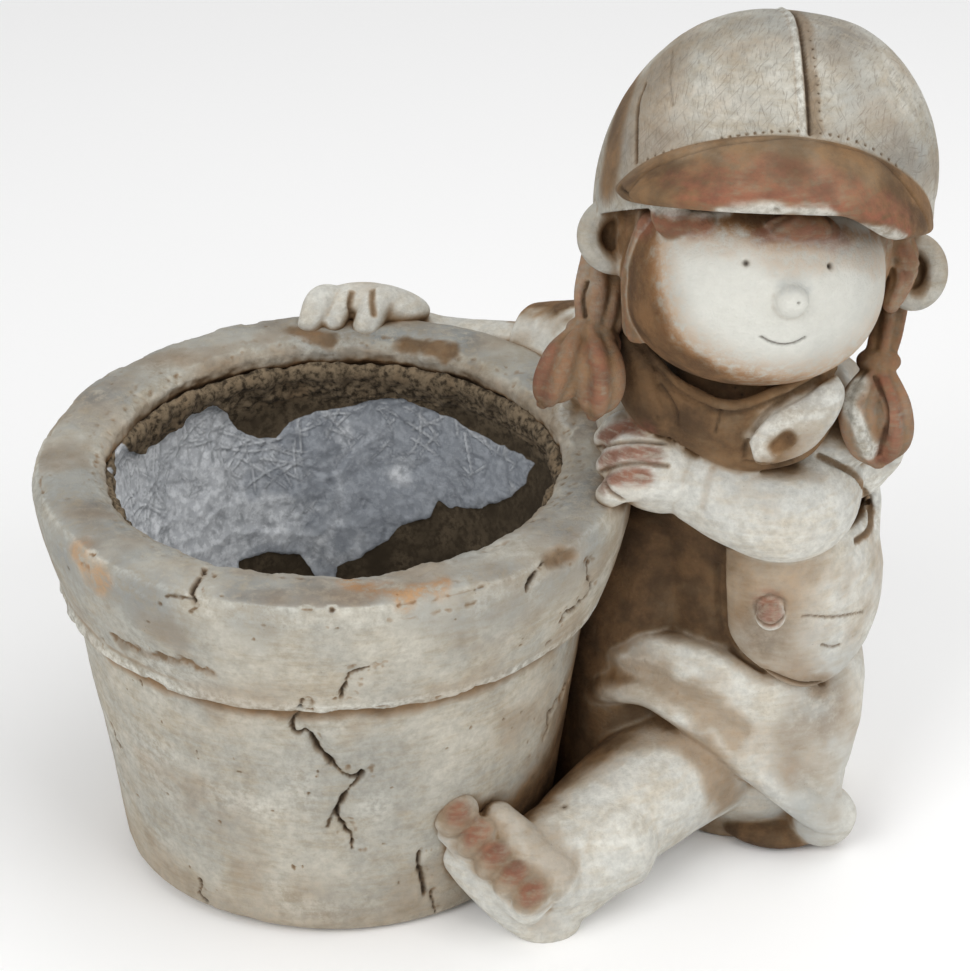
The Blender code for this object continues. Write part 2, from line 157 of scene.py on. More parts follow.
@dataclass
class Clay:
    """Closed rounded shells gathered as triangles, to be fused afterwards."""
    points: list = field(default_factory=list)
    faces: list = field(default_factory=list)
    kinds: list = field(default_factory=list)
    count: int = 0

    def rings(self, grid: Array, kind: Region) -> None:
        """Skin a stack of rings and close each end with a fan to its middle point.

        Args:
            grid: Rings of points, shape (rings, points, 3).
            kind: Region that the shell belongs to.
        """
        m, n = grid.shape[:2]
        i = np.arange(m - 1)[:, None] * n
        j = np.arange(n)[None, :]
        k = (j + 1) % n
        a, b, c, d = (x.ravel() for x in (i + j, i + k, i + n + k, i + n + j))
        low, high = m * n, m * n + 1
        end = (m - 1) * n
        fans = [np.stack([np.full(n, low), k[0], j[0]], 1),
                np.stack([np.full(n, high), end + j[0], end + k[0]], 1)]
        p = np.vstack([grid.reshape(-1, 3), grid[0].mean(0), grid[-1].mean(0)])
        f = np.vstack([np.stack([a, b, c], 1), np.stack([a, c, d], 1)] + fans)
        t = p[f]
        if np.einsum("ij,ij->i", t[:, 0], np.cross(t[:, 1], t[:, 2])).sum() < 0:
            f = f[:, ::-1]
        self.points.append(p)
        self.faces.append(f + self.count)
        self.kinds.append(np.full(len(p), kind.value))
        self.count += len(p)

    def ball(self, centre: Sequence[float], radii: Sequence[float] = (1, 1, 1),
             kind: Region = Region.SKIN, turn: Sequence[float] = (0, 0, 0),
             axes: Optional[Sequence] = None, on: Optional[Frame] = None,
             power: float = 2.0, nu: int = 56, nv: int = 36,
             locks: tuple[int, float, float] = (0, 0, 0)) -> None:
        """Ellipsoid on turned or given half axes, squarer when power is over 2.

        With locks (count, depth, twist) the radius shrinks by depth at count grooves that
        run from pole to pole and wind round by twist, as combed hair does.
        """
        t = np.linspace(0.02, math.pi - 0.02, nv)[:, None]
        a = np.linspace(0, 2 * math.pi, nu, endpoint=False)[None, :]
        d = np.stack([np.sin(t) * np.cos(a), np.sin(t) * np.sin(a), np.cos(t) + 0 * a], -1)
        d = d / (np.abs(d) ** power).sum(-1, keepdims=True) ** (1 / power)
        if locks[0]:
            wave = np.abs(np.sin(0.5 * (locks[0] * a + locks[2] * t)))
            d = d * (1 - locks[1] * (1 - wave) * np.sin(t))[..., None]
        p = d @ np.asarray(axes, float) if axes is not None else d * np.asarray(radii, float)
        r = np.array(Euler([math.radians(x) for x in turn]).to_matrix())
        p = p @ r.T + np.asarray(centre, float)
        self.rings(on(p) if on else p, kind)

    def limb(self, points: Sequence, radii: Sequence, kind: Region = Region.SKIN,
             side: Sequence[float] = (0, 0, 1), cap: tuple[float, float] = (1, 1),
             on: Optional[Frame] = None, count: int = 48, nu: int = 40,
             locks: tuple[int, float, float] = (0, 0, 0)) -> None:
        """Tube of changing oval section along a curve, with rounded ends.

        Section i is c(i) + r1 cos(a) s + r2 sin(a) w, where s is the side direction made
        square to the curve. With locks (count, depth, twist) grooves run along the tube.
        """
        c = path(points, count)
        r = path([(q, q) if np.isscalar(q) else q for q in radii], count)
        t = unit(np.gradient(c, axis=0))
        s = unit(np.asarray(side, float) - (t @ np.asarray(side, float))[:, None] * t)
        w = np.cross(t, s)
        a = np.linspace(0, 2 * math.pi, nu, endpoint=False)[None, :]
        start, stop = np.linspace(0.08, math.pi / 2, 8)[:-1], np.linspace(
            math.pi / 2, 0.08, 8)[1:]
        row = np.r_[np.zeros(7, int), np.arange(count), np.full(7, count - 1)]
        scale = np.r_[np.sin(start), np.ones(count), np.sin(stop)][:, None]
        shift = np.r_[-np.cos(start) * cap[0] * r[0].mean(), np.zeros(count),
                      np.cos(stop) * cap[1] * r[-1].mean()][:, None, None]
        if locks[0]:
            u = np.linspace(0, 1, len(row))[:, None]
            wave = np.abs(np.sin(0.5 * (locks[0] * a + locks[2] * u)))
            scale = scale * (1 - locks[1] * (1 - wave))
        g = (c[row][:, None] + t[row][:, None] * shift
             + (scale * r[row, 0:1] * np.cos(a))[..., None] * s[row][:, None]
             + (scale * r[row, 1:2] * np.sin(a))[..., None] * w[row][:, None])
        self.rings(on(g) if on else g, kind)

    def sheet(self, fn: Callable[[Array, Array], Array],
              thick: Union[float, Callable[[Array, Array], Array]], kind: Region,
              nu: int = 90, nv: int = 30, on: Optional[Frame] = None,
              power: float = 6) -> None:
        """Thick cloth on fn(u, v), its edges rounded like a flattened pillow."""
        a = np.linspace(0, 2 * math.pi, 4 * nv, endpoint=False)
        u, k = np.meshgrid(np.linspace(0.004, 0.996, nu), a, indexing="ij")
        v = 0.5 + 0.5 * np.sign(np.cos(k)) * np.abs(np.cos(k)) ** (2 / power)
        side = np.sign(np.sin(k)) * np.abs(np.sin(k)) ** 0.6
        end = (1 - np.abs(2 * u - 1) ** power) ** 0.5
        e = 1e-3
        uu, vv = np.clip(u, e, 1 - e), np.clip(v, e, 1 - e)
        n = unit(np.cross(fn(uu + e, vv) - fn(uu - e, vv), fn(uu, vv + e) - fn(uu, vv - e)))
        h = thick(u, v) if callable(thick) else thick
        p = fn(u, np.clip(v, 0, 1)) + n * (0.5 * h * side * end)[..., None]
        self.rings(on(p) if on else p, kind)

    def drape(self, top: Sequence, bottom: Sequence,
              thick: Union[float, Callable[[Array, Array], Array]],
              bulge: Union[float, Callable[[Array, Array], Array]],
              about: Sequence[float], kind: Region, nu: int = 90, nv: int = 26,
              power: float = 6) -> None:
        """Cloth between two edge curves, swelling away from the point 'about'."""
        first, last = path(top, 241), path(bottom, 241)

        def fn(u: Array, v: Array) -> Array:
            """Blend the two edges by v at u and push the point out by the bulge."""
            k = np.clip(u, 0, 1) * 240
            i = np.minimum(k.astype(int), 239)
            f = (k - i)[..., None]
            m = ((first[i] * (1 - f) + first[i + 1] * f) * (1 - v[..., None])
                 + (last[i] * (1 - f) + last[i + 1] * f) * v[..., None])
            w = bulge(u, v) if callable(bulge) else bulge * np.sin(math.pi * v)
            return m + unit(m - np.asarray(about, float)) * w[..., None]
        self.sheet(fn, thick, kind, nu=nu, nv=nv, power=power)


# Fused skins and their relief

def new_object(name: str, mesh: bpy.types.Mesh) -> bpy.types.Object:
    """Link a mesh to the scene as an object of the same name."""
    made = bpy.data.objects.new(name, mesh)
    bpy.context.scene.collection.objects.link(made)
    return made


def plain_mesh(name: str, points: Array, faces: Array) -> bpy.types.Mesh:
    """Mesh of points in millimetres and of faces that have as many corners each."""
    count, corners = faces.shape
    mesh = bpy.data.meshes.new(name)
    mesh.vertices.add(len(points))
    mesh.vertices.foreach_set("co", (points * MM).astype(np.float32).ravel())
    mesh.loops.add(count * corners)
    mesh.loops.foreach_set("vertex_index", faces.astype(np.int32).ravel())
    mesh.polygons.add(count)
    mesh.polygons.foreach_set("loop_start",
                              np.arange(0, count * corners, corners, dtype=np.int32))
    mesh.update(calc_edges=True)
    return mesh


def evaluated(made: bpy.types.Object) -> bpy.types.Mesh:
    """Mesh of an object with its modifiers applied."""
    bpy.context.view_layer.update()
    graph = bpy.context.evaluated_depsgraph_get()
    return bpy.data.meshes.new_from_object(made.evaluated_get(graph))


def mesh_arrays(mesh: bpy.types.Mesh) -> tuple[Array, Array, Array]:
    """Points in millimetres, quads and edges of an all-quad mesh."""
    co = np.empty(len(mesh.vertices) * 3, np.float32)
    mesh.vertices.foreach_get("co", co)
    corner = np.empty(len(mesh.loops), np.int32)
    mesh.loops.foreach_get("vertex_index", corner)
    edge = np.empty(len(mesh.edges) * 2, np.int32)
    mesh.edges.foreach_get("vertices", edge)
    return co.reshape(-1, 3) / MM, corner.reshape(-1, 4), edge.reshape(-1, 2)


class Tone(Enum):
    """Paint, dirt, painted shade and painted highlights laid on a skin; the value is the column in
    the tone array.

    Every three tones share one attribute of the mesh, in the order of LAYERS.
    """
    UMBER = 0
    CLAY = 1
    CHALK = 2
    DARK = 3
    OCHRE = 4
    GREY = 5
    HATCH = 6
    SMOOTH = 7


class Skin:
    """Dense quad surface whose height and tones are worked as whole arrays."""

    def __init__(self, co: Array, faces: Array, edges: Array) -> None:
        """Keep the arrays and start with no relief and no tones."""
        self.co, self.faces, self.edges = co.astype(float), faces, edges
        self.degree = np.maximum(np.bincount(edges.ravel(), minlength=len(co)), 1)
        self.height = np.zeros(len(co))
        self.tone = np.zeros((len(co), len(Tone)))
        self.region = np.zeros((len(co), len(Region)))

    def relax(self, values: Array, rounds: int) -> Array:
        """Average every value with its neighbours' mean, a number of rounds."""
        a, b = self.edges[:, 0], self.edges[:, 1]
        v = values.reshape(len(self.co), -1).copy()
        for _ in range(rounds):
            for k in range(v.shape[1]):
                x = v[:, k]
                s = (np.bincount(a, x[b], len(x)) + np.bincount(b, x[a], len(x)))
                v[:, k] = 0.5 * x + 0.5 * s / self.degree
        return v.reshape(values.shape)

    def normals(self) -> Array:
        """Unit normals: the sum of the cross products of each quad's diagonals."""
        q = self.co[self.faces]
        n = np.cross(q[:, 2] - q[:, 0], q[:, 3] - q[:, 1])
        i = self.faces.ravel()
        return unit(np.stack([np.bincount(i, np.repeat(n[:, k], 4), len(self.co))
                              for k in range(3)], 1))

    def tree(self) -> BVHTree:
        """Search tree over the surface as it stands."""
        return BVHTree.FromPolygons(self.co.tolist(), self.faces.tolist())

    def press(self) -> None:
        """Move every point by its height along the normal, and start afresh."""
        self.co += self.normals() * self.height[:, None]
        self.height[:] = 0

    def hollow(self, rounds: int, scale: float) -> Array:
        """How far a point lies inside its smoothed surface, 1 at 'scale' millimetres."""
        d = ((self.relax(self.co, rounds) - self.co) * self.normals()).sum(1)
        return d / scale

    def add(self, tone: Tone, amount: Array, where: Optional[Array] = None) -> None:
        """Raise one tone to at least the given amount, at some points or at all."""
        column = self.tone[:, tone.value]
        if where is None:
            np.maximum(column, amount, out=column)
        else:
            column[where] = np.maximum(column[where], amount)

    def weight(self, *kinds: Region) -> Array:
        """Share of the given regions at every point."""
        return self.region[:, [k.value for k in kinds]].sum(1)

    def object(self, name: str, limit: int) -> bpy.types.Object:
        """Write the skin as a smooth mesh of at most 'limit' triangles.

        Args:
            name: Name of the piece.
            limit: Most triangles it may have; a collapse thins flat places first.
        Returns:
            The object, with its tones in the attributes 'tone', 'mark' and 'grain'.
        """
        mesh = plain_mesh(name, self.co, self.faces)
        tone = np.clip(self.tone, 0, 1)
        for k, label in enumerate(LAYERS):
            columns = tone[:, 3 * k:3 * k + 3]
            values = np.ones((len(self.co), 4), np.float32)
            values[:, :columns.shape[1]] = columns
            layer = mesh.attributes.new(label, "FLOAT_COLOR", "POINT")
            layer.data.foreach_set("color", values.ravel())
        dense = new_object(name + "_dense", mesh)
        triangles = 2 * len(self.faces)
        if triangles > limit:
            thin = dense.modifiers.new("thin", "DECIMATE")
            thin.ratio = 0.995 * limit / triangles
        final = evaluated(dense)
        final.name = name
        bpy.data.objects.remove(dense, do_unlink=True)
        final.polygons.foreach_set("use_smooth", np.ones(len(final.polygons), bool))
        return new_object(name, final)


def fuse(clay: Clay, voxel: float, rounds: int, floor: Optional[float] = None) -> Skin:
    """Melt shells into one quad skin and tell every point which region it is of.

    Args:
        clay: The shells.
        voxel: Grid size of the remesh in millimetres.
        rounds: Smoothing rounds, which round creases by about a voxel each.
        floor: Lowest height; points below it are set on it.
    Returns:
        The skin, with region weights softened over a few points.
    """
    points, faces = np.vstack(clay.points), np.vstack(clay.faces)
    shells = new_object("shells", plain_mesh("shells", points, faces))
    melt = shells.modifiers.new("melt", "REMESH")
    melt.mode, melt.voxel_size = "VOXEL", voxel * MM
    sand = shells.modifiers.new("sand", "SMOOTH")
    sand.factor, sand.iterations = 0.5, rounds
    skin = Skin(*mesh_arrays(evaluated(shells)))
    bpy.data.objects.remove(shells, do_unlink=True)
    lookup = BVHTree.FromPolygons(points.tolist(), faces.tolist())
    kind = np.concatenate(clay.kinds)[faces[:, 0]]
    found = [lookup.find_nearest(p)[2] for p in skin.co.tolist()]
    skin.region[np.arange(len(skin.co)), kind[np.array(found)]] = 1
    skin.region = skin.relax(skin.region, 10)
    if floor is not None:
        skin.co[:, 2] = np.maximum(skin.co[:, 2], floor)
    return skin


@dataclass(frozen=True)
class Sight:
    """Where the casting is seen from: turns places in the picture into places on it."""
    target: tuple[float, float, float] = (75.0, 0.0, 199.0)
    elevation: float = 29.75
    distance: float = 1500.0
    focal: float = 2980.5
    width: int = 970
    height: int = 971

    def axes(self) -> tuple[Array, Array, Array]:
        """Right, up and back directions of the view."""
        e = math.radians(self.elevation)
        back = np.array([0, -math.cos(e), math.sin(e)])
        right = np.array([1.0, 0, 0])
        return right, np.cross(back, right), back

    def eye(self) -> Array:
        """Place of the eye."""
        return np.array(self.target) + self.distance * self.axes()[2]

    def rays(self, spots: Array) -> Array:
        """Unit directions from the eye through places in the picture."""
        right, up, back = self.axes()
        s = np.asarray(spots, float)
        return unit(right * (s[:, :1] - self.width / 2) / self.focal
                    + up * (self.height / 2 - s[:, 1:]) / self.focal - back)

    def spots(self, co: Array) -> Array:
        """Places in the picture at which points show."""
        right, up, back = self.axes()
        rel = co - self.eye()
        scale = -self.focal / (rel @ back)
        return np.stack([self.width / 2 + (rel @ right) * scale,
                         self.height / 2 - (rel @ up) * scale], 1)

    def land(self, tree: BVHTree, spots: Array) -> Array:
        """Points of a surface under places in the picture; misses are left out."""
        eye = Vector(self.eye())
        hits = [tree.ray_cast(eye, Vector(d))[0] for d in self.rays(spots)]
        return np.array([h[:] for h in hits if h is not None], float).reshape(-1, 3)


SIGHT = Sight()


class Chisel:
    """Cuts, stains and wipes one skin along lines that are given as places in the picture."""

    def __init__(self, skin: Skin) -> None:
        """Start on a skin as it stands."""
        self.skin, self.tree = skin, skin.tree()

    def line(self, spots: Spots, ragged: float = 0.0, seed: int = 0) -> Array:
        """Curve through places in the picture, laid on the skin a point per 0.8 mm.

        Args:
            spots: Places in the picture.
            ragged: How far, in picture units, the line wanders to either side.
            seed: Choice of the wander.
        Returns:
            Points in millimetres.
        """
        p = even(path(spots, 12 * len(spots)), 1.6)
        if ragged:
            q = np.c_[p, np.full(len(p), 3.0 * seed)]
            p = p + ragged * np.stack([noise(q, 9, seed, 3), noise(q, 9, seed + 9, 3)], 1)
        return SIGHT.land(self.tree, p)

    def around(self, line: Array, reach: float) -> tuple[Array, Array]:
        """Points within reach of a line, and how far each is from it."""
        co = self.skin.co
        box = ((co > line.min(0) - reach) & (co < line.max(0) + reach)).all(1)
        near = np.flatnonzero(box)
        gap = np.full(len(near), 1e9)
        for part in np.array_split(np.arange(len(near)), max(1, len(near) * len(line) // 4e6)):
            d = co[near[part], None, :] - line[None, :, :]
            gap[part] = np.sqrt((d * d).sum(-1).min(1))
        keep = gap < reach
        return near[keep], gap[keep]

    def cut(self, line: Array, width: float, depth: float, dark: float = 0.0,
            uneven: float = 0.0, seed: int = 0, umber: float = 0.0) -> None:
        """Groove of half width 'width': depth times (1 - (d / width)^2)^1.5.

        A negative depth raises a bead. Uneven changes width and depth along the line.
        """
        if len(line) == 0:
            return
        near, gap = self.around(line, width * 3)
        vary = 1 + uneven * noise(self.skin.co[near], 7, seed + 3, 3)
        g = np.clip(1 - (gap / (width * np.maximum(vary, 0.15))) ** 2, 0, 1) ** 1.5
        self.skin.height[near] -= depth * g * np.maximum(vary, 0.2)
        if dark:
            self.skin.add(Tone.DARK, dark * g ** 2, near)
        if umber:
            self.skin.add(Tone.UMBER, umber * ease(1.15 - gap / (1.35 * width)), near)

    def pit(self, spots: Spots, radius: float, depth: float, dark: float = 0.8) -> None:
        """Round holes at single places in the picture."""
        for p in SIGHT.land(self.tree, np.asarray(spots, float)):
            self.cut(p[None], radius, depth, dark)

    def stitches(self, spots: Spots, pitch: float, radius: float = 0.95) -> None:
        """Row of small holes a pitch apart in the picture."""
        for p in SIGHT.land(self.tree, even(path(spots, 12 * len(spots)), pitch)):
            self.cut(p[None], radius, 0.9, 0.75)

    def stain(self, tone: Tone, line: Array, reach: float, amount: float,
              broken: float = 0.5, size: float = 9.0, seed: int = 0) -> None:
        """Soft patch about a line, broken up by noise of the given size."""
        if len(line) == 0:
            return
        near, gap = self.around(line, reach * 1.6)
        edge = noise(self.skin.co[near], size, seed + 5, 4)
        self.skin.add(tone, amount * ease(1.35 - gap / reach + broken * edge), near)

    def cuts(self, rows: Sequence[tuple]) -> None:
        """Make a groove for each row: its places, then what 'cut' is told."""
        for spots, *how in rows:
            self.cut(self.line(spots), *how)

    def stains(self, rows: Sequence[tuple]) -> None:
        """Lay a patch for each row: its tone, its places, then what 'stain' is told."""
        for tone, spots, *how in rows:
            self.stain(tone, self.line(spots), *how)

    def wipe(self, line: Array, reach: float, amount: float, broken: float = 0.4,
             size: float = 9.0, seed: int = 0) -> None:
        """Rub the brown off about a line and leave it chalky."""
        if len(line) == 0:
            return
        near, gap = self.around(line, reach * 1.6)
        edge = noise(self.skin.co[near], size, seed + 5, 4)
        rub = amount * ease(1.35 - gap / reach + broken * edge)
        for tone in (Tone.UMBER, Tone.CLAY, Tone.DARK, Tone.OCHRE):
            self.skin.tone[near, tone.value] *= 1 - rub
        self.skin.add(Tone.CHALK, rub, near)


def quad_edges(faces: Array) -> Array:
    """Unique edges of a set of quads."""
    pair = np.sort(np.stack([faces, np.roll(faces, -1, 1)], 2).reshape(-1, 2), axis=1)
    key = np.unique(pair[:, 0].astype(np.int64) << 32 | pair[:, 1])
    return np.stack([key >> 32, key & 0xFFFFFFFF], 1)


def lathe(profile: Array, turns: int, flare: Callable[[Array], Array]) -> Skin:
    """Turn a profile of (radius, height) rows about Z and close both ends with strips.

    A point is ((r - f cos a) cos a, (r - f cos a) sin a, z), with f the flare at z.
    """
    m, n = len(profile), turns
    a = np.linspace(0, 2 * math.pi, n, endpoint=False)[None, :]
    r, z = profile[:, :1], profile[:, 1:]
    q = r - flare(z) * np.cos(a)
    co = np.stack([q * np.cos(a), q * np.sin(a), z + 0 * a], -1).reshape(-1, 3)
    i, j = np.arange(m - 1)[:, None] * n, np.arange(n)[None, :]
    k = (j + 1) % n
    wall = np.stack([i + j, i + k, i + n + k, i + n + j], -1).reshape(-1, 4)
    s = np.arange(n // 2 - 1)
    low = np.stack([s, n - 1 - s, n - 2 - s, s + 1], 1)
    high = (m - 1) * n + np.stack([s, s + 1, n - 2 - s, n - 1 - s], 1)
    faces = np.vstack([wall, low, high])
    return Skin(co, faces, quad_edges(faces))


def rounded(corners: Sequence, steps: Sequence[float], radius: float) -> Array:
    """Sample a profile leg by leg and round its corners by a running mean.

    Args:
        corners: Lists of (radius, height) points, each starting where the last one ended.
        steps: Spacing for each list.
        radius: Half length of the running mean, along the finest legs.
    Returns:
        Profile rows.
    """
    fine = even(np.array([p for leg in corners for p in leg], float), 0.5)
    reach = int(radius / 0.5)
    padded = np.vstack([np.repeat(fine[:1], reach, 0), fine, np.repeat(fine[-1:], reach, 0)])
    total = np.cumsum(np.vstack([np.zeros((1, 2)), padded]), axis=0)
    mean = (total[2 * reach + 1:] - total[:-2 * reach - 1]) / (2 * reach + 1)
    mean[0], mean[-1] = fine[0], fine[-1]
    run = np.r_[0, np.cumsum(np.linalg.norm(np.diff(mean, axis=0), axis=1))]
    ends = np.cumsum([np.linalg.norm(np.diff(np.array(leg, float), axis=0), axis=1).sum()
                      for leg in corners])
    ends = np.r_[0, ends * run[-1] / ends[-1]]
    s = np.concatenate([np.arange(a, b, step) for a, b, step in zip(ends, ends[1:], steps)]
                       + [[run[-1]]])
    return np.stack([np.interp(s, run, mean[:, k]) for k in range(2)], 1)


def recess(skins: Sequence[Skin], ways: int = 72, cell: float = 2.4) -> list[Array]:
    """Share of all directions that each point can't look out along.

    For every direction of an even spiral, all points are laid on a grid across it, each
    cell keeps its outermost depth, and a point lying deeper than that is hidden.
    """
    co = np.vstack([s.co for s in skins])
    n = np.vstack([s.normals() for s in skins])
    k = np.arange(ways) + 0.5
    z, a = 1 - 2 * k / ways, k * math.pi * (1 + 5 ** 0.5)
    r = np.sqrt(1 - z * z)
    seen, whole = np.zeros(len(co)), np.zeros(len(co))
    for d in np.stack([r * np.cos(a), r * np.sin(a), z], 1):
        side = unit(np.cross(d, (1.0, 0, 0) if abs(d[0]) < 0.8 else (0, 1.0, 0)))
        u, v = (np.floor(co @ axis / cell).astype(np.int64) for axis in (side, np.cross(d, side)))
        key = (u - u.min()) * (np.ptp(v) + 1) + v - v.min()
        depth = co @ d
        top = np.full(key.max() + 1, -1e9)
        np.maximum.at(top, key, depth)
        facing = np.clip(n @ d, 0, 1)
        seen += facing * (1 - ease((top[key] - depth - 3) / 5))
        whole += facing
    split = np.cumsum([len(s.co) for s in skins])[:-1]
    return [s.relax(part, 3) for s, part in zip(skins, np.split(1 - seen / whole, split))]


def inside(spots: Array, outline: Array) -> Array:
    """Signed distance in picture units to a closed outline, positive inside it."""
    gap, odd = np.full(len(spots), 1e9), np.zeros(len(spots), bool)
    for a, b in zip(outline, np.roll(outline, -1, 0)):
        t = np.clip(((spots - a) @ (b - a)) / ((b - a) @ (b - a)), 0, 1)[:, None]
        gap = np.minimum(gap, np.linalg.norm(spots - a - t * (b - a), axis=1))
        with np.errstate(divide="ignore", invalid="ignore"):
            x = a[0] + (spots[:, 1] - a[1]) / (b[1] - a[1]) * (b[0] - a[0])
        odd ^= ((spots[:, 1] < a[1]) != (spots[:, 1] < b[1])) & (spots[:, 0] < x)
    return np.where(odd, gap, -gap)


# The pot and its lining

@dataclass
class Pot:
    """Tapered pot with a rolled band round its rim, hollow down to a thick floor."""
    height: float = 220
    rim_radius: float = 150
    base_radius: float = 110
    band_height: float = 66
    band_step: float = 6
    lip_width: float = 36
    wall: float = 17
    floor: float = 24
    flare: float = 0.5
    back_lift: float = 3.5
    base_bulge: float = 6.5
    turns: int = 860
    limit: int = 190000

    MAIN_CRACK: Spots = ((302, 699), (292, 730), (308, 732), (315, 749), (332, 765),
                         (352, 779), (361, 775), (345, 798), (337, 813), (345, 828), (353, 848))
    MAIN_BRANCH: Spots = ((332, 765), (322, 768), (316, 776))
    LOW_BRANCH: Spots = ((337, 813), (330, 818), (327, 827))
    BAND_CRACK: Spots = ((342, 696), (348, 676), (368, 669))
    RIM_NOTCH: Spots = ((194, 603), (192, 586), (206, 568))
    RIM_HAIRLINE: Spots = ((194, 600), (180, 597), (166, 596))
    BAND_BREAK: Spots = ((113, 638), (140, 652), (175, 662), (212, 672))
    FOOT_CRACK: Spots = ((199, 881), (203, 898), (211, 915))
    TOE_CRACK: Spots = ((421, 855), (420, 875), (425, 895))
    TOE_CRACK_LOW: Spots = ((434, 895), (435, 905), (436, 915))
    LEFT_CRACK: Spots = ((114, 729), (118, 740), (121, 749))
    RIGHT_BAND_CRACK: Spots = ((590, 561), (588, 577), (590, 589), (576, 607), (562, 621))
    RIM_CHIP: Spots = ((562, 552), (550, 560), (574, 556))
    RIM_SLOT: Spots = ((543, 562), (534, 574), (527, 590))
    RIGHT_CRACK: Spots = ((570, 679), (558, 700), (548, 720), (546, 735))
    RIGHT_STAIN: Spots = ((585, 690), (570, 720), (556, 760))
    PINHOLE: Spots = ((332, 609),)
    RIM_OCHRE: Spots = ((348, 584), (380, 590), (410, 592), (434, 586))
    LEFT_OCHRE: Spots = ((76, 553), (86, 566), (98, 580))
    BACK_PATCH: Spots = ((292, 330), (312, 334), (328, 338))
    FAR_PATCH: Spots = ((408, 342), (430, 348), (448, 352))
    KNOB: Spots = ((561, 398), (566, 411), (562, 424))

    def rise(self, z: Array) -> Array:
        """Flare of the rim towards the free side, growing up the band."""
        return self.flare * np.clip((z - self.height + self.band_height)
                                    / self.band_height, 0, 1)

    def bore(self, z: Array) -> Array:
        """Radius of the hollow at a height."""
        top = self.base_radius + (self.rim_radius - self.base_radius) * 0.8 - self.wall
        mouth = self.rim_radius - self.lip_width
        return np.interp(z, [self.floor, self.floor + 8, self.height - 30, self.height - 22,
                             self.height - 12, self.height - 6, self.height + 2],
                         [self.base_radius - self.wall - 10, self.base_radius - self.wall, top,
                          top + 1, mouth, mouth, mouth + 10])

    def build(self) -> Skin:
        """Turn the whole closed profile, fine where it shows and coarse where it doesn't."""
        h, band = self.height, self.height - self.band_height
        under = self.rim_radius - self.band_step - 14
        rim, mouth = self.rim_radius, self.rim_radius - self.lip_width
        base = self.base_radius
        legs = [
            [(2, 0), (base - 6, 0)],
            [(base - 6, 0), (base - 1, 4), (under - 1.5, band - 7), (under - 0.5, band - 0.5),
             (under + 7.5, band + 0.5), (rim - 6.5, band + 20), (rim - 1.5, band + 41),
             (rim, h - 9), (rim - 3, h - 2), (rim - 10, h), (mouth + 14, h),
             (mouth + 6, h - 1.5), (mouth, h - 6), (mouth, h - 12)],
            [(mouth, h - 12), (self.bore(h - 22), h - 22), (self.bore(h - 30), h - 30),
             (base - self.wall, self.floor + 8), (base - self.wall - 10, self.floor)],
            [(base - self.wall - 10, self.floor), (2, self.floor)]]
        return lathe(rounded(legs, (5, 1.0, 3, 6), 1.8), self.turns, self.rise)

    def carve(self, skin: Skin) -> None:
        """Unevenness and worn edges first, then cracks and patches, then pits."""
        outside = self.wear(skin)
        self.crack(skin)
        pits = ease((noise(skin.co, 4.5, 21, 2) - 0.68) / 0.12) * outside
        skin.height -= 0.9 * pits
        skin.add(Tone.DARK, 0.4 * pits * ease(2 * noise(skin.co, 40, 22, 2)))
        skin.press()

    def wear(self, skin: Skin) -> Array:
        """Hand-cast unevenness and worn edges; returns which points lie outside, 0 to 1."""
        co = skin.co.copy()
        outside = ease((np.hypot(co[:, 0], co[:, 1]) - self.bore(co[:, 2]) - 3) / 4) \
            * ease((co[:, 2] - 2) / 6)
        edge = np.clip(-skin.hollow(24, 0.7), 0, 1)
        step = 1 - ease(np.abs(co[:, 2] - self.height + self.band_height) / 12)
        around = np.cos(np.arctan2(co[:, 1], co[:, 0]) - math.radians(205))
        skin.co += (outside * np.clip(around, 0, 1) ** 2 * np.interp(
            co[:, 2], [0, self.height - self.band_height - 3, self.height - self.band_height + 8,
                       self.height], [self.base_bulge, self.base_bulge - 1, 0.5, 0]))[:, None] \
            * unit(co * (1, 1, 0))
        skin.co[:, 2] += outside * step * (1.6 * noise(co, 36, 6, 2) + 0.6 * noise(co, 11, 7, 2))
        skin.co[:, 2] += (self.back_lift * ease((co[:, 2] - self.height + 70) / 60)
                          * np.clip(co[:, 1] / self.rim_radius, 0, 1))
        skin.height += outside * (1.0 * noise(co, 80, 1, 2) + 0.5 * noise(co, 22, 2, 3)
                                  + 0.16 * noise(co, 5, 3, 3))
        top = ease((co[:, 2] - self.height + 24) / 14)
        r = np.hypot(co[:, 0], co[:, 1])
        lip = ease((self.rim_radius - self.lip_width + 15 - r) / 9) * top
        skin.height += 0.35 * top * noise(co, 6, 8, 3)
        skin.height += lip * (2.4 * noise(co, 16, 9, 4) + 0.9 * noise(co, 4, 10, 2))
        chip = ease((noise(co, 15, 4, 4) - 0.12) / 0.3)
        skin.height -= outside * edge * (2.2 * chip + 0.5 * noise(co, 9, 5, 2))
        skin.add(Tone.CHALK, 0.5 * edge * (1 - chip))
        skin.press()
        return outside

